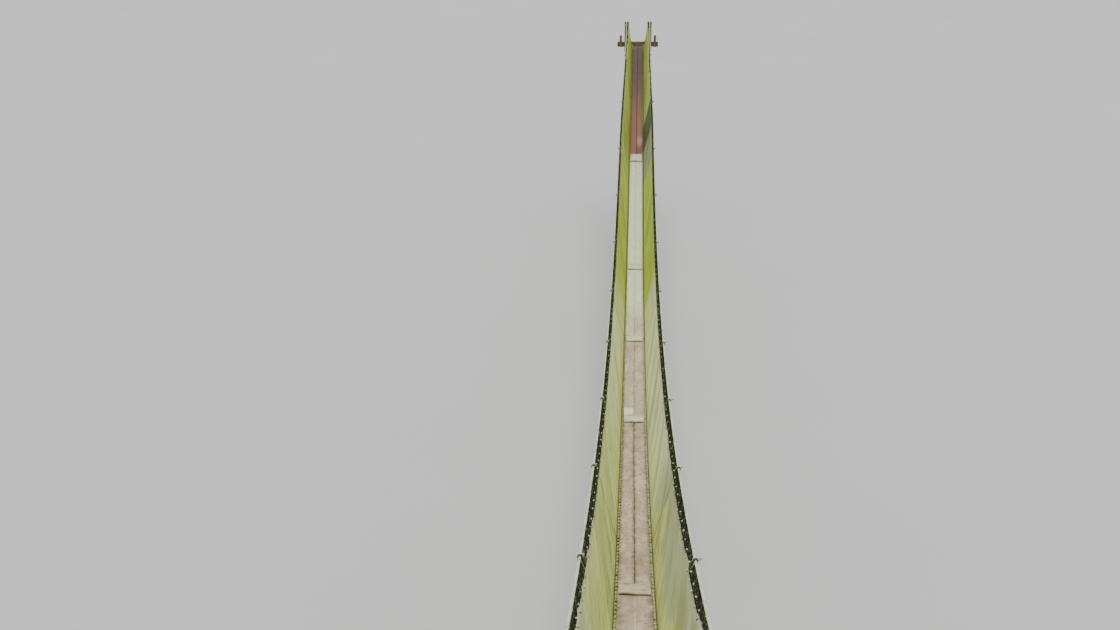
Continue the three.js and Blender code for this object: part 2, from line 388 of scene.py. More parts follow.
def plank_section(width, thickness, edge):
    """The outline of a plank that is cut across: x and height, with eased edges."""
    half = width / 2
    top_x = np.linspace(-half + edge, half - edge, 6)
    outline = [(-half, -thickness + edge), (-half + edge, -thickness), (0, -thickness)]
    outline += [(half - edge, -thickness), (half, -thickness + edge), (half, -edge)]
    outline += [(half - 0.3 * edge, -0.3 * edge)]
    outline += [(x, 0) for x in top_x[::-1]]
    outline += [(-half + 0.3 * edge, -0.3 * edge), (-half, -edge)]
    return np.array(outline)


def lay_plank(skin, start, stop, middle, width, thickness, seed, seam_dirt):
    """Adds one plank that follows the deck from start to stop, with a worn top and uneven edges. It
    meets its neighbour near the underside, so that the seam between them is dark."""
    steps = max(2, math.ceil((stop - start) / PLANK_STEP))
    inner = np.linspace(start + PLANK_BEVEL, stop - PLANK_BEVEL, steps)
    places = np.concatenate([[start], inner, [stop]])
    section = plank_section(width, thickness, PLANK_EDGE)
    rings = np.zeros((len(places), len(section), 3))
    across = section[:, 0] / (width / 2)
    rough = np.where(np.abs(across) > 0.9, 1.0, 0.0) * np.sign(across)
    upper = section[:, 1] > -0.5 * thickness
    meets = (across * middle < -0.99 * abs(middle)) & ~upper
    for i, y in enumerate(places):
        end = i in (0, len(places) - 1)
        shrink = 0.97 if end else 1.0
        edge = 0.0016 * wander(y, 0.11, seed) + 0.001 * wander(y, 0.035, seed + 1)
        other = 0.0016 * wander(y, 0.13, seed + 2) + 0.001 * wander(y, 0.04, seed + 3)
        sides = np.where(across > 0, edge, other)
        rings[i, :, 0] = np.where(meets, 0.0, middle + section[:, 0] * shrink + rough * sides)
        rings[i, :, 1] = y
        hollow = PLANK_CUP * (across**2 - 1) * (1 + 0.6 * wander(y, 0.9, seed + 4))
        ripple = 0.0007 * wander(y + across * 0.07, 0.16, seed + 5)
        drop = np.where(upper, hollow + ripple, 0.0) - (0.0015 if end else 0.0) * upper
        rings[i, :, 2] = deck_top(y) + (section[:, 1] + drop) / math.cos(slope(y))
    y = places[:, None]
    on_right = middle > 0
    wetness = smooth_share(y, WET_FROM - 0.02, WET_FROM + 0.02)
    wetness = wetness * (1 - 0.38 * zone(y, *BARE_PATCH) * on_right)
    # The painted shadow bands darken the planks through the wet colour.
    wetness = wetness + sum(share * zone(y, *band) for share, *band in PAINTED_SHADOW_BANDS)
    whiteness = sum(share * zone(y, *part) for share, *part in BLEACHED_PARTS)
    whiteness = whiteness + 0.35 * smooth_share(y, 16.5, 17.2)
    values = {
        "wetness": np.where(upper, wetness, np.maximum(wetness, 0.4)),
        "whiteness": np.where(upper, whiteness, 0.25 * whiteness),
        "redness": (0.95 if middle < 0 else 0.2) * smooth_share(y, 27.0, 27.6),
        # Darker towards the far bank, from wet wood and painted shade, and in a dark patch on the right
        # plank.
        "wet_dark_and_painted_shade": 0.9 * smooth_share(y, 29.0, 33.2) + 0.45 * zone(y, *DARK_PATCH) * on_right,
        "streak": np.where(upper & (middle == 0), 1.0, 0.0),
    }
    skin.loft(rings, seed_of_plank=(seed % 97) / 97, edge=seam_dirt * np.abs(across) ** 6, **values)


def wood_finish(
    name, dry, worn, bleached, wet, stain, grain=(1, 0.035, 1), grain_depth=0.0009, blotched=0.26
):
    """Sawn wood: dry, worn pale, bleached or wet, with knots, checks and dirt. The wet colour also paints
    shadows, and a dark brown paints shade, where they are asked for. grain shrinks the axis that the fibres
    run along."""
    wood = Finish(name)
    edge = wood.attribute("edge")
    tone = wood.attribute("seed_of_plank")
    wetness = wood.attribute("wetness")
    whiteness = wood.attribute("whiteness")
    redness = wood.attribute("redness")
    offset = wood.vector(tone * 31, tone * 17, tone * 5)
    point = wood.node("ShaderNodeVectorMath", {"operation": "ADD"}, {0: wood.place(), 1: offset})
    stretched = wood.node("ShaderNodeMapping", None, {"Vector": point, "Scale": grain})
    fibres = wood.noise(stretched, 260, 5, 0.65)
    rings = wood.noise(stretched, 46, 3, 0.5, 1.4)
    lines = wood.noise(stretched, 150, 2, 0.5, 0.8)
    longways = [0.25 if share < 1 else 1 for share in grain]
    long_patch = wood.node("ShaderNodeMapping", None, {"Vector": point, "Scale": longways})
    patches = wood.noise(long_patch, 5.2, 4, 0.6)
    blotches = wood.noise(point, 9, 4, 0.62)
    specks = wood.noise(point, 130, 2, 0.6)
    knots = wood.node("ShaderNodeTexVoronoi", {"feature": "F1"}, {"Vector": long_patch, "Scale": 8.5})
    knot = 1 - knots.between(0.04, 0.1)
    checks = 1 - wood.noise(stretched, 84, 2, 0.4, 0.3).between(0.3, 0.35)
    checks = checks * patches.between(0.42, 0.55) * 0.8

    colour = wood.mix(patches.between(0.35, 0.7), dry, worn)
    colour = wood.mix(tone * 0.16, colour, stain)
    colour = wood.mix(whiteness * (0.7 + 0.3 * blotches.between(0.3, 0.6)), colour, bleached)
    # The wet colour also lays in the painted shadow bands.
    colour = wood.mix(wetness, colour, wood.mix(redness, wet, paint(150, 78, 62)))
    shade = 0.62 + 0.36 * rings.between(0.3, 0.7) + 0.2 * lines.between(0.35, 0.6)
    shade = wood.vector(shade, shade * 0.985, shade * 0.965)
    colour = wood.mix(0.62, colour, shade, "MULTIPLY")
    sound = 1 - whiteness * 0.6
    colour = wood.mix(blotches.between(0.47, 0.7) * blotched * sound, colour, stain)
    colour = wood.mix(fibres.between(0.52, 0.68) * 0.26 * sound, colour, stain)
    colour = wood.mix(specks.between(0.64, 0.72) * (0.4 - wetness * 0.6), colour, paint(232, 228, 214))
    colour = wood.mix(knot * 0.6 * sound, colour, paint(84, 58, 42))
    colour = wood.mix(checks * sound, colour, paint(66, 52, 42))
    wobble = wood.noise(stretched, 9, 2) * 0.012 - 0.006
    from_middle = abs(wood.axis(wood.place(), "X") + wobble)
    streak = wood.attribute("streak") * (1 - from_middle.between(0.003, 0.009))
    colour = wood.mix(streak * patches.between(0.3, 0.5) * 0.4, colour, paint(232, 222, 204))
    # Painted shade, with wet darkening, that deepens towards the far bank.
    colour = wood.mix(wood.attribute("wet_dark_and_painted_shade"), colour, paint(72, 50, 34))
    colour = wood.mix(edge * (0.35 + 0.65 * blotches.between(0.35, 0.55)) * 0.8, colour, paint(62, 52, 40))

    damp = wetness * 0.3 + patches.between(0.6, 0.72) * 0.12
    height = fibres * 0.5 + rings * 0.4 + lines * 0.4 - checks * 1.6 - knot * 0.5
    return wood.done(colour, 0.86 - damp, wood.relief(height, grain_depth), Specular_IOR_Level=0.18)


planks = Skin()
for run in range(1, RUNS + 1):
    run_low, run_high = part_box(f"deck_run_{run}")
    gap = PLANK_GAPS[run] / 2
    run_to = BROAD_BOARD_FROM if run == 1 else run_high.y
    for side in (-1, 1):
        breaks = [y for number, hand, y in PLANK_BREAKS if (number, hand) == (run, side)]
        cuts = [run_low.y, *breaks, run_to]
        for piece, (cut_from, cut_to) in enumerate(zip(cuts, cuts[1:])):
            lay_plank(
                planks, cut_from + 0.003 * piece, cut_to, side * (deck_half_width + gap) / 2,
                deck_half_width - gap, deck_thickness, 11 * run + 5 * side + 3 * piece + 40,
                SEAM_DIRT[run],
            )
    if run == 1:
        lay_plank(
            planks, BROAD_BOARD_FROM + 0.004, run_high.y, 0.0, 2 * deck_half_width, deck_thickness, 87,
            SEAM_DIRT[run],
        )

deck_finish = wood_finish(
    "weathered deck planks", paint(184, 164, 142), paint(218, 202, 178), paint(242, 244, 216),
    paint(146, 100, 60), paint(128, 98, 76), blotched=0.4,
)
deck_planks = solid_object("deck_planks", planks, deck_finish)
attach(deck_planks, "root")
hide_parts(*(f"deck_run_{run}" for run in range(1, RUNS + 1)))


# The boards over the joints: a pale, battered board 20 mm thick is nailed across the deck wherever
# two runs meet. A thinner cream board patches the left plank beyond the second joint.
JOINT_BOARD_THICKNESS = 0.02
JOINT_BOARD_HALF_WIDTH = 0.17
# Each board's start and stop along the bridge, and how pale it is.
JOINT_BOARDS = (
    (6.46, 6.75, 0.35), (12.87, 13.18, 0.6), (16.99, 17.3, 0.7), (21.02, 21.33, 0.8), (27.42, 27.86, 0.8),
)
PATCH_BOARD = (13.19, 13.57, 1.0)
PATCH_BOARD_ACROSS = (-0.175, -0.012)
PATCH_BOARD_THICKNESS = 0.012


def lay_cross_board(skin, low_x, high_x, board, thickness, seed):
    """Adds a board that lies across the deck, from its start to its stop along the bridge."""
    chance = random.Random(seed)
    start, stop, whiteness = board
    section = plank_section(stop - start, thickness, 0.003)
    places = np.linspace(low_x, high_x, 22)
    turned = chance.uniform(-0.02, 0.02)
    rings = np.zeros((len(places), len(section), 3))
    across = section[:, 0] / ((stop - start) / 2)
    for i, x in enumerate(places):
        shrink = 0.985 if i in (0, len(places) - 1) else 1.0
        battered = 0.003 * wander(x, 0.035, seed) + 0.002 * wander(x, 0.014, seed + 2)
        other = 0.003 * wander(x, 0.04, seed + 3) + 0.002 * wander(x, 0.015, seed + 4)
        sides = np.where(across > 0.9, battered, np.where(across < -0.9, other, 0.0))
        y = (start + stop) / 2 - section[:, 0] * shrink + turned * x + sides
        rings[i, :, 0] = x
        rings[i, :, 1] = y
        uneven = 0.0014 * wander(x, 0.08, seed + 1) * (section[:, 1] > -thickness / 2)
        rings[i, :, 2] = deck_top(y) + thickness + 0.001 + section[:, 1] + uneven
    skin.loft(
        rings, wetness=0.0, whiteness=whiteness, seed_of_plank=(seed % 89) / 89,
        edge=0.7 * np.abs(across) ** 12,
    )


joint_boards = Skin()
half = JOINT_BOARD_HALF_WIDTH
for number, board in enumerate(JOINT_BOARDS):
    lay_cross_board(joint_boards, -half, half, board, JOINT_BOARD_THICKNESS, 300 + 7 * number)
lay_cross_board(joint_boards, *PATCH_BOARD_ACROSS, PATCH_BOARD, PATCH_BOARD_THICKNESS, 371)

joint_board_finish = wood_finish(
    "pale joint boards", paint(188, 162, 124), paint(228, 212, 178), paint(244, 242, 220),
    paint(150, 120, 90), paint(132, 98, 66), grain=(0.035, 1, 1), blotched=0.75,
)
boards = solid_object("joint_boards", joint_boards, joint_board_finish)
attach(boards, "root")


# The nails: broad galvanised heads, two in each plank at every cross-beam and sill, six in each
# joint board and more between, seven of them rusty. They are driven flush, each at a slight lean.
NAIL_HEAD_RADIUS = 0.0085
NAIL_HEAD_HEIGHT = 0.0022
NAIL_LEAN = 0.09
NAIL_FROM_EDGE = 0.035
RUSTY_NAILS = (
    (0.0, 14.1), (0.002, 13.66), (0.15, 14.12), (-0.06, 9.4), (0.02, 15.9), (0.09, 10.6), (-0.1, 7.9),
)
HANGERS = 11


class Growth(Nodes):
    """A Geometry Nodes tree with named inputs. It turns a bare host into the finished pieces."""

    def __init__(self, name, **sizes):
        super().__init__(bpy.data.node_groups.new(name, "GeometryNodeTree"))
        kinds = {int: "NodeSocketInt", float: "NodeSocketFloat"}
        sockets = self.tree.interface
        sockets.new_socket("Geometry", in_out="INPUT", socket_type="NodeSocketGeometry")
        for size, value in sizes.items():
            made = sockets.new_socket(size, in_out="INPUT", socket_type=kinds[type(value)])
            made.default_value = value
        sockets.new_socket("Material", in_out="INPUT", socket_type="NodeSocketMaterial")
        sockets.new_socket("Geometry", in_out="OUTPUT", socket_type="NodeSocketGeometry")
        self.entry = self.tree.nodes.new("NodeGroupInput")

    def given(self, name):
        return Output(self, find_socket(self.entry.outputs, name))

    def random(self, low, high, number):
        """A random value for each point, from the seed that the tree is given and a number of its own."""
        inputs = {"Min_001": low, "Max_001": high, "Seed": self.given("seed") + number}
        return self.node("FunctionNodeRandomValue", {"data_type": "FLOAT"}, inputs, "Value_001")

    def turn(self, x, y, z):
        return self.node("FunctionNodeEulerToRotation", None, {"Euler": self.vector(x, y, z)})

    def stored(self, geometry, name, value):
        inputs = {"Geometry": geometry, "Name": name, "Value": value}
        return self.node("GeometryNodeStoreNamedAttribute", {"data_type": "FLOAT"}, inputs)

    def done(self, geometry):
        plain = self.node("GeometryNodeRealizeInstances", None, {"Geometry": geometry})
        smooth = self.node("GeometryNodeSetShadeSmooth", None, {"Geometry": plain})
        inputs = {"Geometry": smooth, "Material": self.given("Material")}
        finished = self.node("GeometryNodeSetMaterial", None, inputs)
        self.node("NodeGroupOutput", None, {"Geometry": finished})
        return self

    def scattered(self, points, piece, turn, size):
        """Ends the tree with a copy of the piece on each point."""
        inputs = {"Points": points, "Instance": piece, "Rotation": turn, "Scale": size}
        return self.done(self.node("GeometryNodeInstanceOnPoints", None, inputs))


def grow(name, growth, material, points, edges=(), attributes=None, **sizes):
    """Runs a tree on points or lines, and keeps what it makes as a plain mesh."""
    bare = bpy.data.meshes.new(name)
    bare.from_pydata([tuple(point) for point in points], list(edges), [])
    for key, values in (attributes or {}).items():
        bare.attributes.new(key, "FLOAT", "POINT").data.foreach_set("value", values)
    host = mesh_object(name, bare)
    modifier = host.modifiers.new("growth", "NODES")
    modifier.node_group = growth.tree
    chosen = {**sizes, "Material": material}
    for item in growth.tree.interface.items_tree:
        if item.in_out == "INPUT" and item.name in chosen:
            modifier[item.identifier] = chosen[item.name]
    graph = bpy.context.evaluated_depsgraph_get()
    made = bpy.data.meshes.new_from_object(host.evaluated_get(graph), depsgraph=graph)
    host.modifiers.remove(modifier)
    host.data = made
    made.name = name
    return host


def nail_growth():
    nails = Growth("nails", radius=NAIL_HEAD_RADIUS, height=NAIL_HEAD_HEIGHT, seed=5)
    inputs = {"Vertices": 10, "Side Segments": 2, "Radius Top": nails.given("radius") * 0.62}
    inputs.update({"Radius Bottom": nails.given("radius"), "Depth": nails.given("height")})
    head = nails.node("GeometryNodeMeshCone", None, inputs)
    tilt = nails.node("GeometryNodeInputNamedAttribute", None, {"Name": "tilt"})
    rust = nails.node("GeometryNodeInputNamedAttribute", None, {"Name": "rust"})
    lean_x = tilt + nails.random(-NAIL_LEAN, NAIL_LEAN, 1)
    turn = nails.turn(lean_x, nails.random(-NAIL_LEAN, NAIL_LEAN, 2), nails.random(0, 6, 3))
    size = nails.random(0.82, 1.1, 4) + rust
    return nails.scattered(nails.given("Geometry"), head, turn, nails.vector(size, size, 1.0))


def nail_finish():
    zinc = Finish("galvanised nail heads")
    dull = zinc.noise(zinc.place(), 300, 3)
    colour = zinc.mix(dull.between(0.45, 0.7), paint(228, 226, 214), paint(170, 152, 130))
    colour = zinc.mix(zinc.attribute("rust"), colour, paint(82, 58, 44))
    return zinc.done(colour, 0.42 + 0.3 * dull, zinc.relief(dull, 0.0004), Metallic=0.35)


hanger_places = []
for number in range(1, HANGERS + 1):
    low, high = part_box(f"transom_{number:02d}")
    hanger_places.append((low.y + high.y) / 2)

chance = random.Random(12)
nail_points = []
outer = deck_half_width - NAIL_FROM_EDGE
for y in [0.0, *hanger_places, far_bank]:
    for x in (-outer, -NAIL_FROM_EDGE, NAIL_FROM_EDGE, outer):
        nail_points.append((x + chance.uniform(-0.009, 0.009), y + chance.uniform(-0.014, 0.014), 0.0))
for start, stop, _ in JOINT_BOARDS:
    for x in (-0.125, 0.008, 0.125):
        for share in (0.16, 0.84):
            y = start + share * (stop - start) + chance.uniform(-0.01, 0.01)
            nail_points.append((x + chance.uniform(-0.012, 0.012), y, JOINT_BOARD_THICKNESS))
rusty_from = len(nail_points)
nail_points.extend((x, y, 0.0) for x, y in RUSTY_NAILS)
rusty_to = len(nail_points)
for y in np.arange(6.95, 27.0, 0.75):
    nail_points.append((chance.choice((-0.012, 0.012, -0.15, 0.15)), y + chance.uniform(-0.2, 0.2), 0.0))
nail_points = [(x, y, float(deck_top(y)) + lift + NAIL_HEAD_HEIGHT * 0.25) for x, y, lift in nail_points]
nail_values = {"tilt": [float(slope(y)) for _, y, _ in nail_points]}
nail_values["rust"] = [0.75 if rusty_from <= i < rusty_to else 0.1 for i in range(len(nail_points))]
nails = grow("nails", nail_growth(), nail_finish(), nail_points, attributes=nail_values, seed=5)
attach(nails, "root")


# The cross-beams: eleven squared hardwood timbers under the deck, each hung in a rope sling. They
# are rough, dark and damp, with rounded arrises and bevelled ends.
BEAM_SIDE = 0.06
BEAM_CORNER = 0.007
BEAM_ENDS = 0.006


def rounded_section(side_a, side_b, corner):
    """A rectangle with round corners, as offsets along two axes."""
    points = []
    for turn in range(4):
        for step in range(4):
            angle = (turn + step / 3) * math.pi / 2
            a_sign = 1 if turn in (0, 3) else -1
            b_sign = 1 if turn in (0, 1) else -1
            a = a_sign * (side_a / 2 - corner) + corner * math.cos(angle)
            b = b_sign * (side_b / 2 - corner) + corner * math.sin(angle)
            points.append((a, b))
    return np.array(points)


def hew(
    skin, start, stop, up, side_a, side_b, seed, corner=BEAM_CORNER, ends=BEAM_ENDS, uneven=0.0015, **values
):
    """Adds a squared timber from start to stop, with axe-worn faces and bevelled ends."""
    start, stop, up = Vector(start), Vector(stop), Vector(up)
    axis = (stop - start).normalized()
    across = axis.cross(up).normalized()
    up = across.cross(axis)
    length = (stop - start).length
    section = rounded_section(side_a, side_b, corner)
    inner = np.linspace(ends, length - ends, max(3, math.ceil(length / 0.045)))
    rings = []
    for place in [0.0, *inner, length]:
        at_end = place in (0.0, length)
        ring = []
        for number, (a, b) in enumerate(section):
            swell = wander(place, 0.09, seed + 3 * number // 4) + 0.4 * wander(place, 0.03, seed + number)
            reach = math.hypot(a, b)
            share = 1 - (ends / reach if at_end else 0) + uneven * (swell - 1) / reach
            ring.append(start + axis * place + across * (a * share) + up * (b * share))
        rings.append([tuple(point) for point in ring])
    skin.loft(np.array(rings), seed_of_plank=(seed % 83) / 83, edge=0.0, **values)


beams = Skin()
for number, y in enumerate(hanger_places, 1):
    low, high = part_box(f"transom_{number:02d}")
    middle = (low + high) / 2
    lean = float(slope(y))
    square_up = Vector((0, -math.sin(lean), math.cos(lean)))
    start, stop = Vector((low.x, middle.y, middle.z)), Vector((high.x, middle.y, middle.z))
    hew(beams, start, stop, square_up, BEAM_SIDE, BEAM_SIDE, 500 + 9 * number, wetness=0.45, whiteness=0.0)

cross_timber = wood_finish(
    "rough timber laid across", paint(128, 104, 80), paint(160, 142, 116), paint(190, 180, 160),
    paint(92, 68, 48), paint(70, 70, 44), grain=(0.035, 1, 1), grain_depth=0.0014, blotched=0.42,
)
cross_beams = solid_object("cross_beams", beams, cross_timber)
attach(cross_beams, "root")
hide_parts(*(f"transom_{number:02d}" for number in range(1, HANGERS + 1)))


# The handrail ropes: three-strand laid rope, pale and a little green with algae. Each runs from a
# round turn on the near anchor log over its post, along the span, and down to the far anchor log.
RAIL_RADIUS = 0.0125
RAIL_LAY = 0.085
RAIL_STEP = 0.0125
RAIL_DRAWS_IN_FROM = 27.0
RAIL_HEIGHT_MIDDLE = 1.05
RAIL_DIP = 0.008
RAIL_DIP_REACH = 0.25
RAIL_TIE_Z = 0.115
TURNS_ON_ANCHOR = 2.5
TURN_STEPS = 24
TURN_PITCH = 0.029
ANCHOR_TAIL = 0.22
ANCHOR_SIDE = 0.18
ANCHOR_SQUARENESS = 0.32

near_post_low, near_post_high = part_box("near_post_right")
far_post_low, far_post_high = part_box("far_post_right")
rail_half_near = (near_post_low.x + near_post_high.x) / 2
rail_half_far = (far_post_low.x + far_post_high.x) / 2
rail_height_end = near_post_high.z + RAIL_RADIUS - deck_end_z


def rail_z(y):
    """The height of the handrail's curve, without the dips at the slings."""
    height = RAIL_HEIGHT_MIDDLE + (rail_height_end - RAIL_HEIGHT_MIDDLE) * along(y) ** 2
    return deck_top(y) + height


def rail_half(y):
    drawn = smooth_share(np.asarray(y, float) - span_from, RAIL_DRAWS_IN_FROM, 2 * half_span)
    return rail_half_near + (rail_half_far - rail_half_near) * drawn


def dipped_rail_z(y):
    """The height of the handrail, which the slings pull down a little at every hanger."""
    near = np.min(np.abs(np.asarray(y, float)[..., None] - np.array(hanger_places)), axis=-1)
    return rail_z(y) - RAIL_DIP * np.clip(1 - near / RAIL_DIP_REACH, 0, 1) ** 2


def eased(points, step, reach):
    """A line with points a step apart, its corners rounded over reach on either side."""
    points = np.asarray(points, float)
    travelled = np.concatenate([[0], np.cumsum(np.linalg.norm(np.diff(points, axis=0), axis=1))])
    count = max(2, math.ceil(travelled[-1] / step) + 1)
    at = np.linspace(0, travelled[-1], count)
    line = np.stack([np.interp(at, travelled, points[:, k]) for k in range(3)], axis=1)
    width = max(0, round(reach / step))
    ends = np.minimum(width, np.minimum(np.arange(count), np.arange(count)[::-1]))
    total = np.concatenate([np.zeros((1, 3)), np.cumsum(line, axis=0)])
    here = np.arange(count)
    return (total[here + ends + 1] - total[here - ends]) / (2 * ends + 1)[:, None]


def chain(lines, closed=False):
    """Joins lines of points into one host: all the points, and the edges along each line."""
    points, edges = [], []
    for line in lines:
        start = len(points)
        points.extend(line)
        edges.extend((i, i + 1) for i in range(start, len(points) - 1))
        if closed:
            edges.append((len(points) - 1, start))
    return points, edges


def squared_turn(angle, squareness):
    """A place on a turn round a squared timber: a circle that is pressed towards a square."""
    across = math.copysign(abs(math.cos(angle)) ** squareness, math.cos(angle))
    return across, math.copysign(abs(math.sin(angle)) ** squareness, math.sin(angle))


def anchor_turns(bank, away, x, shift, tie_z, radius):
    """The turns round an anchor log: down its face, under it, up behind and over, and then a tail."""
    log_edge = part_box(f"{bank}_anchor")[1 if away > 0 else 0].y
    middle = log_edge - away * ANCHOR_SIDE / 2
    reach = ANCHOR_SIDE / 2 + radius
    start = math.asin(((tie_z - ANCHOR_SIDE / 2) / reach) ** (1 / ANCHOR_SQUARENESS))
    points = []
    for i in range(int(TURN_STEPS * TURNS_ON_ANCHOR) + 1):
        turned = i / TURN_STEPS
        across, rise = squared_turn(start - math.tau * turned, ANCHOR_SQUARENESS)
        points.append((x + shift * turned, middle - away * reach * across, ANCHOR_SIDE / 2 + reach * rise))
    x, y, z = points[-1]
    bend = (x + shift * 0.3, y + away * 0.02, z - 0.02)
    return [*points, bend, (x + shift, y + away * ANCHOR_TAIL, radius)]


def anchored_line(x_at, z_at, side, shift, radius, tie_z):
    """A rope's whole route, from its near tail to its far tail."""
    stop = far_bank + span_from
    places = np.arange(-span_from, stop, 0.1)
    places = np.append(places[places < stop], stop)
    middle = [(side * float(x_at(y)), float(y), float(z_at(y))) for y in places]
    near = anchor_turns("near", -1, middle[0][0], shift, tie_z, radius)
    far = anchor_turns("far", 1, middle[-1][0], shift, tie_z, radius)
    return eased([*near[::-1], *middle, *far], 0.012, 0.018)


def grow_along(name, growth, material, lines, attributes=None, closed=False, **sizes):
    """Runs a tree on lines of points, and keeps what it makes as a plain mesh."""
    points, edges = chain(lines, closed)
    return grow(name, growth, material, points, edges, attributes, **sizes)


def rope_growth():
    rope = Growth(
        "laid rope", radius=RAIL_RADIUS, lay=RAIL_LAY, step=RAIL_STEP, strands=3, sides=4, groove=0.2
    )
    line = rope.node("GeometryNodeMeshToCurve", None, {"Mesh": rope.given("Geometry")})
    inputs = {"Curve": line, "Length": rope.given("step")}
    line = rope.node("GeometryNodeResampleCurve", {"mode": "LENGTH"}, inputs)
    travelled = rope.node("GeometryNodeSplineParameter", output="Length")
    twist = travelled / rope.given("lay") * math.tau
    line = rope.node("GeometryNodeSetCurveTilt", None, {"Curve": line, "Tilt": twist})
    line = rope.stored(line, "rope_along", travelled)
    corners = rope.given("strands") * rope.given("sides")
    inputs = {"Resolution": corners, "Radius": rope.given("radius")}
    ring = rope.node("GeometryNodeCurvePrimitiveCircle", {"mode": "RADIUS"}, inputs)
    number = rope.node("GeometryNodeInputIndex")
    valley = 1 - (number % rope.given("sides")).smaller(1.0)
    inputs = {0: rope.node("GeometryNodeInputPosition"), "Scale": 1 - valley * rope.given("groove")}
    sunk = rope.node("ShaderNodeVectorMath", {"operation": "SCALE"}, inputs)
    ring = rope.node("GeometryNodeSetPosition", None, {"Geometry": ring, "Position": sunk})
    ring = rope.stored(ring, "rope_around", number / corners)
    ring = rope.stored(ring, "valley", valley)
    inputs = {"Curve": line, "Profile Curve": ring, "Fill Caps": True}
    return rope.done(rope.node("GeometryNodeCurveToMesh", None, inputs))


def rope_finish(name, clean, dirty, algae, lay, faded=None):
    """Laid rope: fibres along each strand, dirt and painted shade in the grooves, patches of algae, and
    faded parts.
    """
    rope = Finish(name)
    length = rope.attribute("rope_along")
    around = rope.attribute("rope_around")
    groove = rope.attribute("valley")
    fibres = rope.noise(rope.vector(length * 60, around * 40, length / lay), 2.2, 3, 0.6)
    patches = rope.noise(rope.place(), 7, 4, 0.6)
    grime = rope.noise(rope.place(), 38, 3, 0.6)
    colour = rope.mix(patches.between(0.42, 0.66), clean, algae)
    if faded:
        colour = rope.mix(rope.attribute("faded"), colour, faded)
    colour = rope.mix(grime.between(0.5, 0.75) * 0.6, colour, dirty)
    # Dirt and painted shade in the grooves between the strands.
    colour = rope.mix(groove * 0.72, colour, dirty)
    colour = rope.mix(fibres.between(0.55, 0.75) * 0.35, colour, clean)
    return rope.done(colour, 0.92, rope.relief(fibres, 0.0006, 0.6), Specular_IOR_Level=0.12)


laid_rope = rope_growth()
cream_rope = rope_finish(
    "pale laid rope", paint(233, 240, 206), paint(136, 134, 96), paint(192, 208, 160), RAIL_LAY
)
for side, hand in (("left", -1), ("right", 1)):
    route = anchored_line(rail_half, dipped_rail_z, hand, -hand * TURN_PITCH, RAIL_RADIUS, RAIL_TIE_Z)
    rail = grow_along(f"handrail_{side}", laid_rope, cream_rope, [route])
    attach(rail, "root")
    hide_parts(f"handrail_rope_{side}")


# The foot ropes: the same rope, but grey with dirt, along both edges of the deck. They lie on the
# cross-beams beside the planks, and end in turns round the anchor logs too.
FOOT_ROPE_RADIUS = 0.0125
FOOT_ROPE_STEP = 0.014
FOOT_TIE_Z = 0.0951

foot_x = sum(corner.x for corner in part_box("foot_rope_right")) / 2


def foot_z(y):
    return deck_top(y) + (FOOT_ROPE_RADIUS - deck_thickness) / np.cos(slope(y))


dirty_rope = rope_finish(
    "dirty laid rope", paint(158, 150, 120), paint(62, 58, 42), paint(112, 120, 78), RAIL_LAY
)
for side, hand in (("left", -1), ("right", 1)):
    route = anchored_line(lambda y: foot_x, foot_z, hand, hand * TURN_PITCH, FOOT_ROPE_RADIUS, FOOT_TIE_Z)
    foot_rope = grow_along(
        f"foot_line_{side}", laid_rope, dirty_rope, [route],
        radius=FOOT_ROPE_RADIUS, step=FOOT_ROPE_STEP, sides=3, groove=0.16,
    )
    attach(foot_rope, "root")
    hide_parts(f"foot_rope_{side}")


# The net ropes: thin olive ropes that hold the nets' top edges. Each ends on the tops of the posts,
# beside the handrail rope and under its lashing.
NET_ROPE_RADIUS = 0.006
NET_ROPE_LAY = 0.045
NET_INSIDE_RAIL = 0.058
NET_HEIGHT = 0.84
ON_POST = 0.05
OFF_POST = 0.03
BESIDE_RAIL = 0.004


def net_rope_x(y):
    return rail_half(y) - NET_INSIDE_RAIL


def net_rope_z(y):
    return deck_top(y) + NET_HEIGHT + NET_ROPE_RADIUS / np.cos(slope(y))


net_rope_finish = rope_finish(
    "olive net rope", paint(160, 166, 104), paint(74, 76, 42), paint(120, 134, 70), NET_ROPE_LAY
)
net_rope_from = (near_post_high.y - near_post_low.y) / 2 + OFF_POST
net_rope_inside = RAIL_RADIUS + NET_ROPE_RADIUS + BESIDE_RAIL
for side, hand in (("left", -1), ("right", 1)):
    places = np.linspace(net_rope_from, far_bank - net_rope_from, 400)
    middle = [(hand * float(net_rope_x(y)), float(y), float(net_rope_z(y))) for y in places]
    top_z = near_post_high.z + NET_ROPE_RADIUS
    near_x = hand * (rail_half_near - net_rope_inside)
    far_x = hand * (rail_half_far - net_rope_inside)
    near_end = [(near_x, -ON_POST, top_z), (near_x, ON_POST * 0.5, top_z)]
    far_end = [(far_x, far_bank - ON_POST * 0.5, top_z), (far_x, far_bank + ON_POST, top_z)]
    route = eased([*near_end, *middle, *far_end], 0.012, 0.03)
    net_rope = grow_along(
        f"net_line_{side}", laid_rope, net_rope_finish, [route],
        radius=NET_ROPE_RADIUS, lay=NET_ROPE_LAY, step=0.0115, sides=2, groove=0.24,
    )
    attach(net_rope, "root")
    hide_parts(f"net_rope_{side}")


# The slings: dark green ropes, 14 mm thick. Each is wound two and a half times round one handrail,
# leaves it on the outside, passes under its cross-beam and is wound round the other handrail. Its
# ends are doubled and tucked back, so that a faded loop 0.15 m long hangs inside each handrail.
SLING_RADIUS = 0.007
SLING_LAY = 0.046
SLING_STEP = 0.0085
SLING_TURNS = 2.5
SLING_TURN_PITCH = 0.0145
SLING_OFF_BEAM = 0.0079
SLING_CORNER = 0.0055
SLING_BEND = 0.003
SLING_LOOP = 0.15
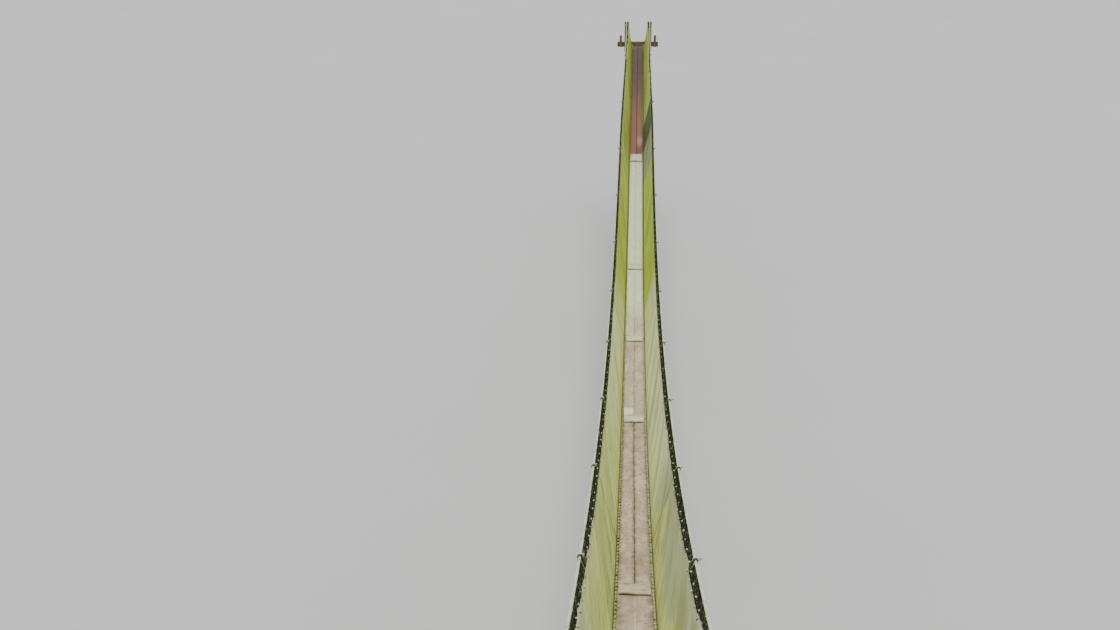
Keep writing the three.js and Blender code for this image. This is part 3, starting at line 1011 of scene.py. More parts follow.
# The loop's line: how far it stands inside the end of the turns, and how far below it.
SLING_LOOP_LINE = (
    (0.018, -0.004), (0.019, 0.03), (0.02, 0.128), (0.017, 0.144),
    (0.012, SLING_LOOP), (0.006, 0.144), (0.003, 0.128), (0.002, 0.03),
)
SLING_LOOP_LEAN = 0.1
SLING_TUCKED = 1.3 * SLING_TURN_PITCH
SLING_POINT_STEP = 0.004
SLING_EASED = 0.006
SLING_FADES_OVER = 0.04


def rail_frame(y):
    """The place of the right handrail's middle, the way it runs, and what is square to it upwards."""
    rise = (float(rail_z(y + 0.01)) - float(rail_z(y - 0.01))) / 0.02
    ahead = Vector((0, 1, rise)).normalized()
    place = Vector((float(rail_half(y)), y, float(dipped_rail_z(y))))
    return place, ahead, Vector((0, -ahead.z, ahead.y))


def sling_half(number, y):
    """The right half of a sling, from its end on the handrail to the middle of the beam's underside."""
    place, ahead, square_up = rail_frame(y)
    beam_low, beam_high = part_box(f"transom_{number:02d}")
    beam_middle = (beam_low.z + beam_high.z) / 2
    half_height = BEAM_SIDE / 2 / math.cos(slope(y))
    reach = RAIL_RADIUS + SLING_RADIUS
    turns = []
    for angle in np.linspace(math.tau * SLING_TURNS, 0, int(16 * SLING_TURNS)):
        around = Vector((reach * math.cos(angle), 0, 0)) + square_up * (reach * math.sin(angle))
        turns.append(place + around - ahead * (SLING_TURN_PITCH * angle / math.tau))
    down = Vector((-SLING_LOOP_LEAN, 0, -1)).normalized()
    inward = Vector((down.z, 0, -down.x))
    loop = [turns[0] + ahead * SLING_TUCKED + inward * 0.002]
    loop += [turns[0] + inward * off_turn + down * drop for off_turn, drop in SLING_LOOP_LINE]
    outside = beam_high.x + SLING_OFF_BEAM
    low_z = beam_middle - half_height
    under = low_z - SLING_OFF_BEAM / math.cos(slope(y))
    below = [
        (outside, beam_middle + half_height), (outside, low_z + SLING_BEND),
        (beam_high.x + SLING_CORNER, low_z - SLING_CORNER), (beam_high.x - SLING_BEND, under), (0, under),
    ]
    return [*(tuple(point) for point in loop + turns), *((x, y, z) for x, z in below)]


sling_routes, faded = [], []
for number, y in enumerate(hanger_places, 1):
    right_half = sling_half(number, y)
    left_half = [(-px, py, pz) for px, py, pz in right_half]
    route = eased([*left_half, *right_half[-2::-1]], SLING_POINT_STEP, SLING_EASED)
    from_end = np.minimum(np.arange(len(route)), np.arange(len(route))[::-1]) * SLING_POINT_STEP
    sling_routes.append(route)
    faded.extend(1 - smooth_share(from_end, 2 * SLING_LOOP, 2 * SLING_LOOP + SLING_FADES_OVER))

green_rope = rope_finish(
    "dark green laid rope", paint(66, 78, 42), paint(22, 28, 16), paint(104, 102, 48), SLING_LAY,
    faded=paint(142, 152, 84),
)
slings = grow_along(
    "slings", laid_rope, green_rope, sling_routes, {"faded": faded},
    radius=SLING_RADIUS, lay=SLING_LAY, step=SLING_STEP, sides=3, groove=0.2,
)
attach(slings, "root")
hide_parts(*(f"sling_{number:02d}" for number in range(1, HANGERS + 1)))


# The knots on the handrails: pale cord 15 mm thick, wound one and a half times round the rope just
# beyond each sling. Both its ends stand out together to the right, farther on the right rope.
KNOT_CORD = 0.0075
KNOT_LAY = 0.045
KNOT_TURNS = 1.5
KNOT_PITCH = 0.0145
KNOT_SUNK = 0.0015
KNOT_BEYOND_SLING = 0.036
KNOT_ENDS = {-1: 0.026, 1: 0.047}


def rail_knot(place, ahead, square_up, end):
    """A cord's route: in from the right, over the rope, round it, and out again under the first end."""
    reach = RAIL_RADIUS + KNOT_CORD - KNOT_SUNK
    last = math.pi / 2 + math.tau * KNOT_TURNS
    points = []
    for angle in np.linspace(math.pi / 2, last, int(16 * KNOT_TURNS)):
        back = KNOT_PITCH * (last - angle) / math.tau
        around = Vector((reach * math.cos(angle), 0, 0)) + square_up * (reach * math.sin(angle))
        points.append(place + around - ahead * back)
    tip = place + Vector((RAIL_RADIUS + end, 0, 0.01)) - ahead * (KNOT_PITCH * KNOT_TURNS / 2)
    half_way = tip - Vector((end / 2, 0, 0.003))
    apart = square_up * KNOT_CORD
    return [tip + apart * 1.6, half_way + apart, *points, half_way - apart, tip - apart * 0.4]


chance = random.Random(31)
knot_routes = []
for y in hanger_places:
    for hand in (-1, 1):
        place, ahead, square_up = rail_frame(y + KNOT_BEYOND_SLING + chance.uniform(-0.005, 0.005))
        place.x *= hand
        end = KNOT_ENDS[hand] * chance.uniform(0.8, 1.1)
        knot_routes.append(eased(rail_knot(place, ahead, square_up, end), SLING_POINT_STEP, SLING_EASED))

pale_cord = rope_finish(
    "pale cord", paint(242, 240, 226), paint(158, 152, 122), paint(214, 220, 192), KNOT_LAY
)
rail_knots = grow_along(
    "rail_knots", laid_rope, pale_cord, knot_routes,
    radius=KNOT_CORD, lay=KNOT_LAY, step=0.0065, sides=3, groove=0.18,
)
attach(rail_knots, "root")


# The net walls: fine knotted netting, four panels a side. Each panel is wrapped round the foot rope,
# rises outside it in long slanting folds, and stands a little over the net rope with a frayed edge.
NET_WRAP_RADIUS = 0.0142
NET_TO_PLANK = 0.0212
NET_WRAP_ROWS = 11
NET_WALL_ROWS = 34
NET_EDGE_ROWS = 4
NET_RING_STEP = 0.05
NET_SHEAR = 1.9
NET_FOLD = 0.011
NET_BULGE = 0.01
NET_LAP = 0.03
NETS = 4
NET_CELL = 0.0115
NET_OFF_ROPE = 0.0018
NET_OFF_RAIL = 0.0165
NET_STANDS = 0.014
NET_TORN = 0.03

arc_places = np.linspace(-0.2, far_bank + 0.2, 8000)
arc_steps = np.hypot(np.diff(arc_places), np.diff(deck_top(arc_places)))
arc_lengths = np.concatenate([[0], np.cumsum(arc_steps)])


def arc(y):
    """The length along the bridge's curve up to y."""
    return np.interp(y, arc_places, arc_lengths)


def net_surface(hand, places, seed, lap):
    """The points of a net panel and what its finish needs: rings along the bridge, rows up the net."""
    y = places[:, None]
    lean = np.cos(slope(places))[:, None]
    low_z = foot_z(places)[:, None]
    wrap = np.radians(np.linspace(75, 360, NET_WRAP_ROWS))[None, :]
    flat = np.where(np.cos(wrap) < 0, NET_TO_PLANK, NET_WRAP_RADIUS)
    wrap_x = foot_x + flat * np.cos(wrap) + 0 * y
    wrap_z = low_z + NET_WRAP_RADIUS * np.sin(wrap) / lean

    rise = np.linspace(0, 1, NET_WALL_ROWS + 1)[None, 1:]
    low_x = foot_x + NET_WRAP_RADIUS
    top_x = net_rope_x(y) - NET_ROPE_RADIUS - NET_OFF_ROPE
    top_z = net_rope_z(y)
    length = np.hypot(top_x - low_x, top_z - low_z)
    along_fold = arc(y) - NET_SHEAR * rise
    folds = 0.55 * wander(along_fold, 0.62, seed) + 0.45 * wander(along_fold + 0.2 * rise, 0.34, seed + 1)
    slack = 0.5 * wander(arc(y) - 0.7 * rise, 1.3, seed + 2)
    hang = np.sin(np.pi * rise)
    out = hang**0.55 * NET_FOLD * folds + hang * (NET_BULGE + 0.012 * slack) + lap
    wall_x = low_x + (top_x - low_x) * rise + (top_z - low_z) / length * out
    wall_z = low_z + (top_z - low_z) * rise - (top_x - low_x) / length * out

    torn = np.maximum(wander(y, 0.21, seed + 3), 0) + np.maximum(wander(y, 0.9, seed + 4), 0)
    stand = NET_STANDS + NET_TORN * torn + 0.006 * wander(y, 0.03, seed + 5)
    share = np.linspace(0, 1, NET_EDGE_ROWS + 1)[None, 1:]
    lean_x, lean_z = rail_half(y) - NET_OFF_RAIL - top_x, rail_z(y) - top_z
    to_rail = np.hypot(lean_x, lean_z)
    stand = np.minimum(stand, 0.7 * to_rail)
    curl = 0.006 * np.abs(wander(y, 0.16, seed + 6)) * share
    edge_x = top_x + (lean_x / to_rail) * stand * share - curl - 0.001
    edge_z = top_z + (lean_z / to_rail) * stand * share
    x = hand * np.concatenate([wrap_x, wall_x, edge_x], axis=1)
    z = np.concatenate([wrap_z, wall_z, edge_z], axis=1)
    steps_up = np.hypot(np.diff(x), np.diff(z))
    girth = np.concatenate([np.zeros((len(places), 1)), np.cumsum(steps_up, axis=1)], axis=1)
    points = np.stack([x, y + 0 * x, z], axis=2)
    height = np.concatenate([0 * wrap[0] - 0.05, rise[0], 1 + 0.06 * share[0]])[None, :] + 0 * x
    fold = np.concatenate([0 * wrap_x, folds * hang**0.4, 0 * edge_x], axis=1)
    values = {"net_along": arc(y) + 0 * x, "net_up": girth, "net_height": height, "net_fold": fold}
    return points, values


def net_finish():
    """Fine netting: khaki, with grey old parts, yellow-green new ones, slanting streaks and dirt, painted
    highlights on fold crests, and painted shade in fold hollows, creases and along the low edge.
    """
    net = Finish("fine knotted netting")
    length = net.attribute("net_along")
    up = net.attribute("net_up")
    height = net.attribute("net_height")
    fold = net.attribute("net_fold")
    grey = net.attribute("grey")
    fresh = net.attribute("fresh")
    flat = net.vector(length, up)
    warp = net.noise(flat, 1.3, 2, 0.5) - 0.5
    slant = length - up * 2.15 + warp * 0.35
    streak_place = net.vector(slant, up * 0.25)
    broad = net.noise(streak_place, 2.4, 3, 0.55)
    fine = net.noise(streak_place, 9.5, 3, 0.6)
    ridge = net.noise(streak_place, 3.4, 1, 0.4) - 0.5
    ridge = 1 - abs(ridge).between(0.0, 0.035)
    crest = ridge * broad.between(0.42, 0.6)
    blotch = net.noise(flat, 3.1, 4, 0.6)
    grime = net.noise(flat, 17, 3, 0.65)

    colour = net.mix(broad.between(0.38, 0.62), paint(204, 213, 132), paint(229, 239, 150))
    colour = net.mix((grey + blotch - 0.5).between(0.25, 0.7), colour, paint(190, 196, 158))
    colour = net.mix(net.attribute("bleached") * (0.7 + 0.3 * broad), colour, paint(248, 252, 212))
    colour = net.mix((fresh + broad - 0.5).between(0.2, 0.7) * 0.94, colour, paint(188, 208, 56))
    colour = net.mix(fine.between(0.5, 0.64) * 0.6, colour, paint(156, 162, 82))
    # Painted shade in the fold hollows, painted highlight on the fold crests, and a painted highlight along
    # the slanting crest lines.
    colour = net.mix((0 - fold).between(0.1, 0.6) * 0.5, colour, paint(138, 142, 76))
    colour = net.mix(fold.between(0.15, 0.7) * 0.35, colour, paint(220, 220, 166))
    colour = net.mix(crest * 0.6, colour, paint(236, 238, 196))
    murky = net.mix(net.attribute("blue"), paint(92, 78, 50), paint(52, 82, 68))
    colour = net.mix(net.attribute("murk") * (0.75 + 0.25 * blotch), colour, murky)
    # Painted shade in creases.
    crease_shading = fine.between(0.5, 0.62) * net.attribute("crease_shade")
    colour = net.mix(crease_shading, colour, paint(96, 98, 52))
    # Darker towards the foot rope and on the wrap round it: dirt, with painted shade of the gap by the deck.
    low_part = 1 - (height + blotch * 0.16 - 0.08).between(0.0, 0.12)
    colour = net.mix(low_part * 0.28, colour, paint(132, 128, 70))
    colour = net.mix((1 - height.between(-0.03, 0.02)) * (0.35 + 0.4 * grime), colour, paint(122, 114, 74))
    colour = net.mix((height + grime * 0.05).between(0.99, 1.05) * 0.6, colour, paint(184, 186, 156))
    colour = net.mix(grime.between(0.58, 0.74) * 0.24, colour, paint(128, 124, 84))

    one = abs(((length + up) / NET_CELL).fraction() - 0.5)
    other = abs(((length - up) / NET_CELL).fraction() - 0.5)
    twine = one.larger(other).between(0.17, 0.3)
    knot = (one + other).between(0.72, 0.86)
    closed = net.node("ShaderNodeClamp", None, {"Value": fine.between(0.4, 0.52) + low_part + crest})
    cover = twine + (1 - twine) * (0.62 + 0.38 * closed)
    frayed = (height + grime * 0.09).between(1.085, 1.1)
    relief = twine * 0.5 + knot * 0.5
    normal = net.relief(broad + fine * 0.4 + crest * 0.6, 0.012, 0.5)
    normal = net.relief(relief, 0.0012, 0.55, normal)
    return net.done(colour, 0.9, normal, Alpha=cover * (1 - frayed), Specular_IOR_Level=0.1)


netting = net_finish()
for side, hand in (("left", -1), ("right", 1)):
    for panel in range(1, NETS + 1):
        net_low, net_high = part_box(f"net_{side}_{panel}")
        start = net_low.y - (NET_LAP if panel > 1 else 0)
        stop = net_high.y + (NET_LAP if panel < NETS else 0)
        places = np.linspace(start, stop, math.ceil((stop - start) / NET_RING_STEP) + 1)
        rings, values = net_surface(hand, places, 700 + (50 if hand > 0 else 0), 0.0012 * (panel % 2))
        y = rings[:, :, 1]
        rise = values["net_height"]
        if hand > 0:
            outer = smooth_share(rise + 0.25 * wander(y, 0.8, 91), 0.3, 0.7)
            murk = zone(y + 0.1 * wander(rise, 0.3, 93), 28.0, 29.6, 0.15)
            old_length = zone(y, 26.15, 29.6, 0.02)
            values["grey"] = zone(y, 2.6, 10.5, 1.5) * (0.2 + 0.7 * outer) + 0.95 * old_length
            values["grey"] = values["grey"] + 0.35 * zone(y, 16.0, 18.5, 1.0)
            values["bleached"] = zone(y, 9.2, 18.4, 1.2) * (0.6 + 0.4 * smooth_share(rise, 0.05, 0.3))
            values["fresh"] = 0.95 * smooth_share(y, 17.6, 20.4) * (1 - smooth_share(y, 26.13, 26.17))
            values["fresh"] = values["fresh"] + 0.6 * smooth_share(y, 29.55, 29.75)
            values["murk"] = 0.68 * murk + 0.3 * old_length
            low_brown = murk * (1 - smooth_share(rise + 0.15 * wander(y, 0.3, 94), 0.5, 0.7))
            values["blue"] = 1 - low_brown
            # Painted crease shade near the top edge.
            values["crease_shade"] = 0.8 * zone(y, 10.8, 15.5, 0.8) * smooth_share(rise, 0.72, 0.92)
        else:
            band = np.exp(-(((rise - 0.28) / 0.16) ** 2))
            values["grey"] = 0.45 * zone(y, -1, 5.0, 0.8) * smooth_share(rise, 0.5, 0.8)
            values["grey"] = values["grey"] + 0.15 * zone(y, 8, 14, 1)
            values["bleached"] = 0.7 * zone(y, 11.8, 17.2, 1.4) * smooth_share(rise, 0.1, 0.5)
            values["fresh"] = 0.95 * smooth_share(y, 17.2, 20.6) + 0.4 * band * zone(y, -1, 6.4, 0.8)
            # Painted crease shade low down on the near part.
            values["crease_shade"] = 0.45 * zone(y, 5.2, 8.6, 0.8) * smooth_share(rise, 0.1, 0.2) * (rise < 0.5)
        sheet = Skin()
        sheet.loft(rings, closed=False, **values)
        name = f"net_wall_{side}_{panel}"
        net = mesh_object(name, sheet.mesh(name, netting))
        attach(net, "root")
        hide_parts(f"net_{side}_{panel}")


# The upper nets: coarse dark twine netting between the net rope and the handrail, bunched up and
# torn, in two lengths a side. It leans against the inside of the handrail, and each sling's loop
# pushes it out a little.
UPPER_ROWS = 8
UPPER_STEP = 0.06
UPPER_CELL = 0.03
UPPER_FOLD = 0.007
UPPER_LAP = 0.02
UPPER_PUSHED = 0.011
UPPER_PUSH_REACH = 0.05


def upper_surface(hand, places, seed):
    """The points of an upper net and what its finish needs, in rings and rows like a net panel."""
    y = places[:, None]
    rise = np.linspace(0, 1, UPPER_ROWS + 1)[None, :]
    low_x, low_z = net_rope_x(y), net_rope_z(y) + 0.003
    top_x, top_z = rail_half(y) - RAIL_RADIUS + 0.001, dipped_rail_z(y) - 0.002
    hang = np.sin(np.pi * rise)
    folds = wander(y - 0.2 * rise, 0.17, seed) + 0.5 * wander(y + 0.1 * rise, 0.4, seed + 1)
    loop_places = np.array(hanger_places) - SLING_TURN_PITCH * SLING_TURNS
    loop_near = np.abs(y - loop_places).min(axis=1, keepdims=True)
    pushed = UPPER_PUSHED * np.exp(-((loop_near / UPPER_PUSH_REACH) ** 2))
    out = UPPER_FOLD * hang * folds + pushed * hang**0.5
    x = hand * (low_x + (top_x - low_x) * rise + out)
    z = low_z + (top_z - low_z) * rise - 0.02 * hang * np.maximum(wander(y, 0.5, seed + 2), 0)
    up = np.hypot(top_x - low_x, top_z - low_z) * rise
    values = {"net_along": arc(y) + 0 * x, "net_up": up + 0 * x, "net_height": rise + 0 * x}
    return np.stack([x, y + 0 * x, z], axis=2), values


def upper_net_finish():
    """Coarse dark netting: two meshes across each other, bunched up in places, with olive parts."""
    net = Finish("dark twine netting")
    length = net.attribute("net_along")
    up = net.attribute("net_up")
    height = net.attribute("net_height")
    flat = net.vector(length, up)
    sway = (net.noise(flat, 9, 2, 0.5) - 0.5) * 0.02
    cover = None
    for cell, lean, offset in ((UPPER_CELL, 1.0, 0.0), (UPPER_CELL * 0.83, 1.35, 0.011)):
        for hand in (1, -1):
            line = ((length + up * (hand * lean) + sway + offset) / cell).fraction() - 0.5
            line = abs(line).between(0.27, 0.33)
            cover = cover.larger(line) if cover else line
    bunched = net.noise(flat, 16, 3, 0.6).between(0.34, 0.5)
    edges = abs(height - 0.5).between(0.4, 0.48)
    solid = bunched.larger(edges)
    blotch = net.noise(flat, 6, 4, 0.65)
    fibres = net.noise(flat, 240, 2)
    colour = net.mix(blotch.between(0.38, 0.62), paint(24, 27, 20), paint(44, 49, 30))
    colour = net.mix(blotch.between(0.61, 0.72) * 0.7, colour, paint(92, 96, 50))
    colour = net.mix(fibres.between(0.5, 0.8) * 0.12, colour, paint(110, 112, 84))
    normal = net.relief(cover + fibres * 0.3, 0.0015, 0.8)
    shown = 0.97 * cover.larger(solid) + 0.03
    return net.done(colour, 0.9, normal, Alpha=shown, Specular_IOR_Level=0.05)


dark_netting = upper_net_finish()
for side, hand in (("left", -1), ("right", 1)):
    upper_low, upper_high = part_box(f"upper_net_{side}")
    halfway = far_bank / 2
    lengths = ((upper_low.y, halfway + UPPER_LAP), (halfway - UPPER_LAP, upper_high.y))
    for part, (start, stop) in enumerate(lengths, 1):
        places = np.linspace(start, stop, math.ceil((stop - start) / UPPER_STEP) + 1)
        rings, values = upper_surface(hand, places, 820 + 10 * hand)
        sheet = Skin()
        sheet.loft(rings, closed=False, **values)
        name = f"dark_net_{side}_{part}"
        net = mesh_object(name, sheet.mesh(name, dark_netting))
        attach(net, "root")
        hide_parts(f"upper_net_{side}")


# The nets' seams and ends: a thin olive cord is sewn to and fro over each lap of two panels, and a
# thicker one runs down each end of a wall from the net rope to the foot rope.
SEAM_CORD = 0.0022
SEAM_REACH = 0.02
SEAM_STITCHES = 26
END_CORD = 0.005
CORD_TWIST = 0.006


def cord_growth():
    cord = Growth("plain cord", radius=SEAM_CORD, sides=5)
    line = cord.node("GeometryNodeMeshToCurve", None, {"Mesh": cord.given("Geometry")})
    line = cord.stored(line, "rope_along", cord.node("GeometryNodeSplineParameter", output="Length"))
    inputs = {"Resolution": cord.given("sides"), "Radius": cord.given("radius")}
    ring = cord.node("GeometryNodeCurvePrimitiveCircle", {"mode": "RADIUS"}, inputs)
    inputs = {"Curve": line, "Profile Curve": ring, "Fill Caps": True}
    return cord.done(cord.node("GeometryNodeCurveToMesh", None, inputs))


def cord_finish(name, clean, dirty):
    """Thin twisted cord, with a fine slanting lay and dirt."""
    cord = Finish(name)
    length = cord.attribute("rope_along")
    place = cord.place()
    lay = ((length + cord.axis(place, "Z") * 0.4) / CORD_TWIST).fraction() - 0.5
    strand = abs(lay).between(0.2, 0.5)
    grime = cord.noise(place, 30, 3, 0.6)
    colour = cord.mix(grime.between(0.45, 0.7), clean, dirty)
    colour = cord.mix(strand * 0.5, colour, dirty)
    colour = cord.mix(cord.attribute("pale"), colour, paint(218, 216, 192))
    return cord.done(colour, 0.9, cord.relief(strand, 0.0006, 0.7), Specular_IOR_Level=0.12)


def wall_point(hand, y, rise, inside=0.0):
    """A place on the flat line between foot rope and net rope, and inside it by a little."""
    low_x, low_z = foot_x + NET_WRAP_RADIUS, float(foot_z(y))
    top_x, top_z = float(net_rope_x(y)) - NET_ROPE_RADIUS - NET_OFF_ROPE, float(net_rope_z(y))
    length = math.hypot(top_x - low_x, top_z - low_z)
    out = NET_BULGE * math.sin(math.pi * rise) - inside
    x = low_x + (top_x - low_x) * rise + (top_z - low_z) / length * out
    return hand * x, y, low_z + (top_z - low_z) * rise - (top_x - low_x) / length * out


thin_cord = cord_growth()
olive_cord = cord_finish("olive cord", paint(178, 180, 118), paint(112, 114, 66))
seam_routes, end_routes = [], []
for side, hand in (("left", -1), ("right", 1)):
    for panel in range(2, NETS + 1):
        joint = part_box(f"net_{side}_{panel}")[0].y
        seam_routes.append([
            wall_point(hand, joint + SEAM_REACH * (-1) ** stitch, stitch / SEAM_STITCHES, 0.008)
            for stitch in range(SEAM_STITCHES + 1)
        ])
    for edge in (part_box(f"net_{side}_1")[0].y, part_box(f"net_{side}_{NETS}")[1].y):
        line = [wall_point(hand, edge, step / 24) for step in range(25)]
        turns = []
        for step in range(17):
            angle = math.pi * (0.5 - step / 5)
            reach = FOOT_ROPE_RADIUS + NET_ROPE_RADIUS + 0.002
            inward = 0.011 * step / 8 * (1 if edge < half_span else -1)
            turns.append((
                hand * (foot_x + reach * math.cos(angle)), edge + inward,
                float(foot_z(edge)) + reach * math.sin(angle),
            ))
        end_routes.append([*turns[::-1], *line])
seams = grow_along("net_seams", thin_cord, olive_cord, seam_routes)
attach(seams, "root")
net_ends = grow_along(
    "net_end_cords", laid_rope, net_rope_finish, end_routes,
    radius=END_CORD, lay=0.036, step=0.009, sides=2, groove=0.22,
)
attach(net_ends, "root")


# The lacing between handrail and net rope: one thin dark cord a side goes up and down every 0.3 m,
# with a turn round the handrail above, which is worn pale, and half a turn round the net rope.
LACING_CORD = 0.0028
LACING_PERIOD = 0.3
LACING_FROM_BANK = 0.4
LACING_INSIDE = 0.007
LACING_LOW_POINTS = 6
LACING_HIGH_POINTS = 12


def turn_round(centre, ahead, square_up, reach, start, stop, count, drift):
    """Points of a turn round a rope, from one angle to another. Angle 0 is on the outside."""
    points = []
    for step in range(count):
        share = step / (count - 1)
        angle = start + (stop - start) * share
        out = Vector((reach * math.cos(angle), 0, 0)) + square_up * (reach * math.sin(angle))
        points.append(centre + out + ahead * (drift * (share - 0.5)))
    return points


def on_side(hand, points):
    """Points of the right side, or the same ones mirrored to the left."""
    return [(hand * point.x, point.y, point.z) for point in points]


chance = random.Random(52)
lacing_routes, lacing_pale, band_knots, edge_knots = [], [], [], []
for hand in (-1, 1):
    route = []
    y = LACING_FROM_BANK
    while y < far_bank - LACING_FROM_BANK:
        low_y = y + chance.uniform(-0.045, 0.045)
        high_y = y + LACING_PERIOD / 2 + chance.uniform(-0.04, 0.04)
        _, ahead, square_up = rail_frame(low_y)
        low = Vector((float(net_rope_x(low_y)), low_y, float(net_rope_z(low_y))))
        reach = NET_ROPE_RADIUS + LACING_CORD + 0.002
        route += turn_round(low, ahead, square_up, reach, math.pi, math.tau, LACING_LOW_POINTS, 0.008)
        edge_knots.append((hand, low + Vector((-LACING_INSIDE, 0, 0.008))))
        place, ahead, square_up = rail_frame(high_y)
        across = place + Vector((-RAIL_RADIUS - LACING_INSIDE, 0, -0.03))
        middle = (low + across) / 2 + Vector((-LACING_INSIDE, 0, 0.02))
        band_knots.append((hand, middle))
        reach = RAIL_RADIUS + LACING_CORD * 0.2
        turn = turn_round(place, ahead, square_up, reach, math.pi, -math.pi, LACING_HIGH_POINTS, 0.009)
        below = Vector((-0.003, 0, -0.012))
        lacing_pale += [0.0] * (LACING_LOW_POINTS + 2) + [1.0] * LACING_HIGH_POINTS + [0.0]
        route += [middle, turn[0] + below, *turn, turn[-1] + below]
        y += LACING_PERIOD
    lacing_routes.append(on_side(hand, route))

dark_cord = cord_finish("dark cord", paint(96, 102, 62), paint(30, 32, 22))
lacing = grow_along(
    "upper_lacing", thin_cord, dark_cord, lacing_routes, {"pale": lacing_pale}, radius=LACING_CORD, sides=5
)
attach(lacing, "root")


# The lacing's knots and the ties on the nets' top edges: pale lumps of cord about 20 mm across, in
# two lines along each side, some with frayed ends. A tie holds every sling to the net rope, and nine
# more cross the dark net.
BAND_KNOT = 0.0105
TUFT_SHARE = 0.22
TUFT_STRANDS = 4
TIE_CORD = 0.0026
TIE_OFF_ROPE = TIE_CORD + 0.001
TIE_INSIDE_RAIL = 0.011
TIE_STEPS = 18
BAND_TIES = (
    (1, 12.95), (1, 16.1), (-1, 9.6), (-1, 18.7), (1, 22.4), (-1, 25.3), (1, 9.2), (-1, 5.05), (1, 5.1),
)


def rough_ball(growth, radius):
    ball = growth.node("GeometryNodeMeshIcoSphere", None, {"Radius": radius, "Subdivisions": 2})
    place = growth.node("GeometryNodeInputPosition")
    rough = growth.node("ShaderNodeTexNoise", None, {"Vector": place, "Scale": 95.0, "Detail": 1.0}, "Color")
    shift = growth.node("ShaderNodeVectorMath", {"operation": "SUBTRACT"}, {0: rough, 1: (0.5, 0.5, 0.5)})
    shift = growth.node("ShaderNodeVectorMath", {"operation": "SCALE"}, {0: shift, "Scale": radius * 1.3})
    return growth.node("GeometryNodeSetPosition", None, {"Geometry": ball, "Offset": shift})


def lump_growth():
    lumps = Growth("lumps", radius=BAND_KNOT, seed=3)
    ball = rough_ball(lumps, lumps.given("radius"))
    points = lumps.stored(lumps.given("Geometry"), "tone", lumps.random(0.0, 1.0, 1))
    turn = lumps.turn(lumps.random(0.0, 6.3, 2), lumps.random(0.0, 6.3, 3), lumps.random(0.0, 6.3, 4))
    size = lumps.vector(lumps.random(0.55, 1.15, 5), lumps.random(0.55, 1.15, 6), lumps.random(0.5, 1.0, 7))
    return lumps.scattered(points, ball, turn, size)


def lump_finish(name, clean, dirty, dark_share):
    """Knots of cord: a share of them dirty all over, the loops below them brown."""
    lump = Finish(name)
    tone = lump.attribute("tone")
    grime = lump.noise(lump.place(), 160, 3, 0.6)
    weave = lump.noise(lump.place((1, 3, 1), (0.6, 0.9, 0.2)), 420, 2, 0.5)
    colour = lump.mix(grime.between(0.45, 0.7) * 0.6, clean, dirty)
    colour = lump.mix((1 - tone.between(dark_share - 0.08, dark_share + 0.08)) * 0.85, colour, dirty)
    colour = lump.mix(lump.attribute("loop") * 0.85, colour, paint(116, 108, 74))
    return lump.done(colour, 0.9, lump.relief(weave, 0.001, 0.8), Specular_IOR_Level=0.12)


lumps = lump_growth()
pale_lumps = lump_finish("pale knots", paint(244, 241, 226), paint(128, 122, 88), 0.24)
points = [(hand * place.x, place.y, place.z) for hand, place in band_knots + edge_knots]
small_knots = grow("small_knots", lumps, pale_lumps, points, seed=3)
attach(small_knots, "root")

tuft_routes = []
for hand, place in edge_knots:
    if chance.random() > TUFT_SHARE:
        continue
    for _ in range(TUFT_STRANDS):
        inward, forward = chance.uniform(-0.03, 0.01), chance.uniform(-0.04, 0.04)
        reach = Vector((inward, forward, chance.uniform(-0.01, 0.05)))
        bend = place + reach * 0.55 + Vector((0, 0, 0.008))
        tuft_routes.append(on_side(hand, (place, bend, place + reach)))
for hand in (-1, 1):
    for y in hanger_places:
        place = Vector((float(net_rope_x(y)), y, float(net_rope_z(y))))
        outer = Vector((float(rail_half(y)) - TIE_INSIDE_RAIL, y, place.z))
        middle, half = (place + outer) / 2, (outer.x - place.x) / 2 + 0.013
        loop = []
        for step in range(2 * TIE_STEPS + 1):
            angle, drop = math.tau * step / TIE_STEPS, 0.006 * (step / TIE_STEPS - 1)
            loop.append(middle + Vector((half * math.cos(angle), 0.011 * math.sin(angle), drop)))
        tuft_routes.append(on_side(hand, loop))
for hand, y in BAND_TIES:
    place, ahead, square_up = rail_frame(y)
    low = Vector((float(net_rope_x(y)), y, float(net_rope_z(y))))
    reach = NET_ROPE_RADIUS + TIE_OFF_ROPE
    low_turn = turn_round(low, ahead, square_up, reach, -2.4, math.pi * 1.5, 14, 0.014)
    reach = RAIL_RADIUS + TIE_OFF_ROPE
    high_turn = turn_round(place, ahead, square_up, reach, 2.4, -math.pi * 1.6, 18, 0.02)
    tuft_routes.append(on_side(hand, low_turn[::-1] + high_turn))
bright_cord = cord_finish("bright cord", paint(226, 224, 206), paint(140, 136, 104))
tufts = grow_along("ties_and_tufts", thin_cord, bright_cord, tuft_routes, radius=TIE_CORD, sides=5)
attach(tufts, "root")


# The lashing of the nets' lower edges: a dark loop of cord round the foot rope every 0.11 m, each
# with a knot of 20 mm on its inner side. The knots are pale on the right, and mostly dirty on the left.
FOOT_LOOP_SPACING = 0.11
FOOT_LOOP_CORD = 0.003
FOOT_LOOP_RADIUS = 0.0172
FOOT_KNOT = 0.0102
FOOT_KNOT_ANGLE = 2.1
FOOT_LOOPS_FROM_BANK = 0.2


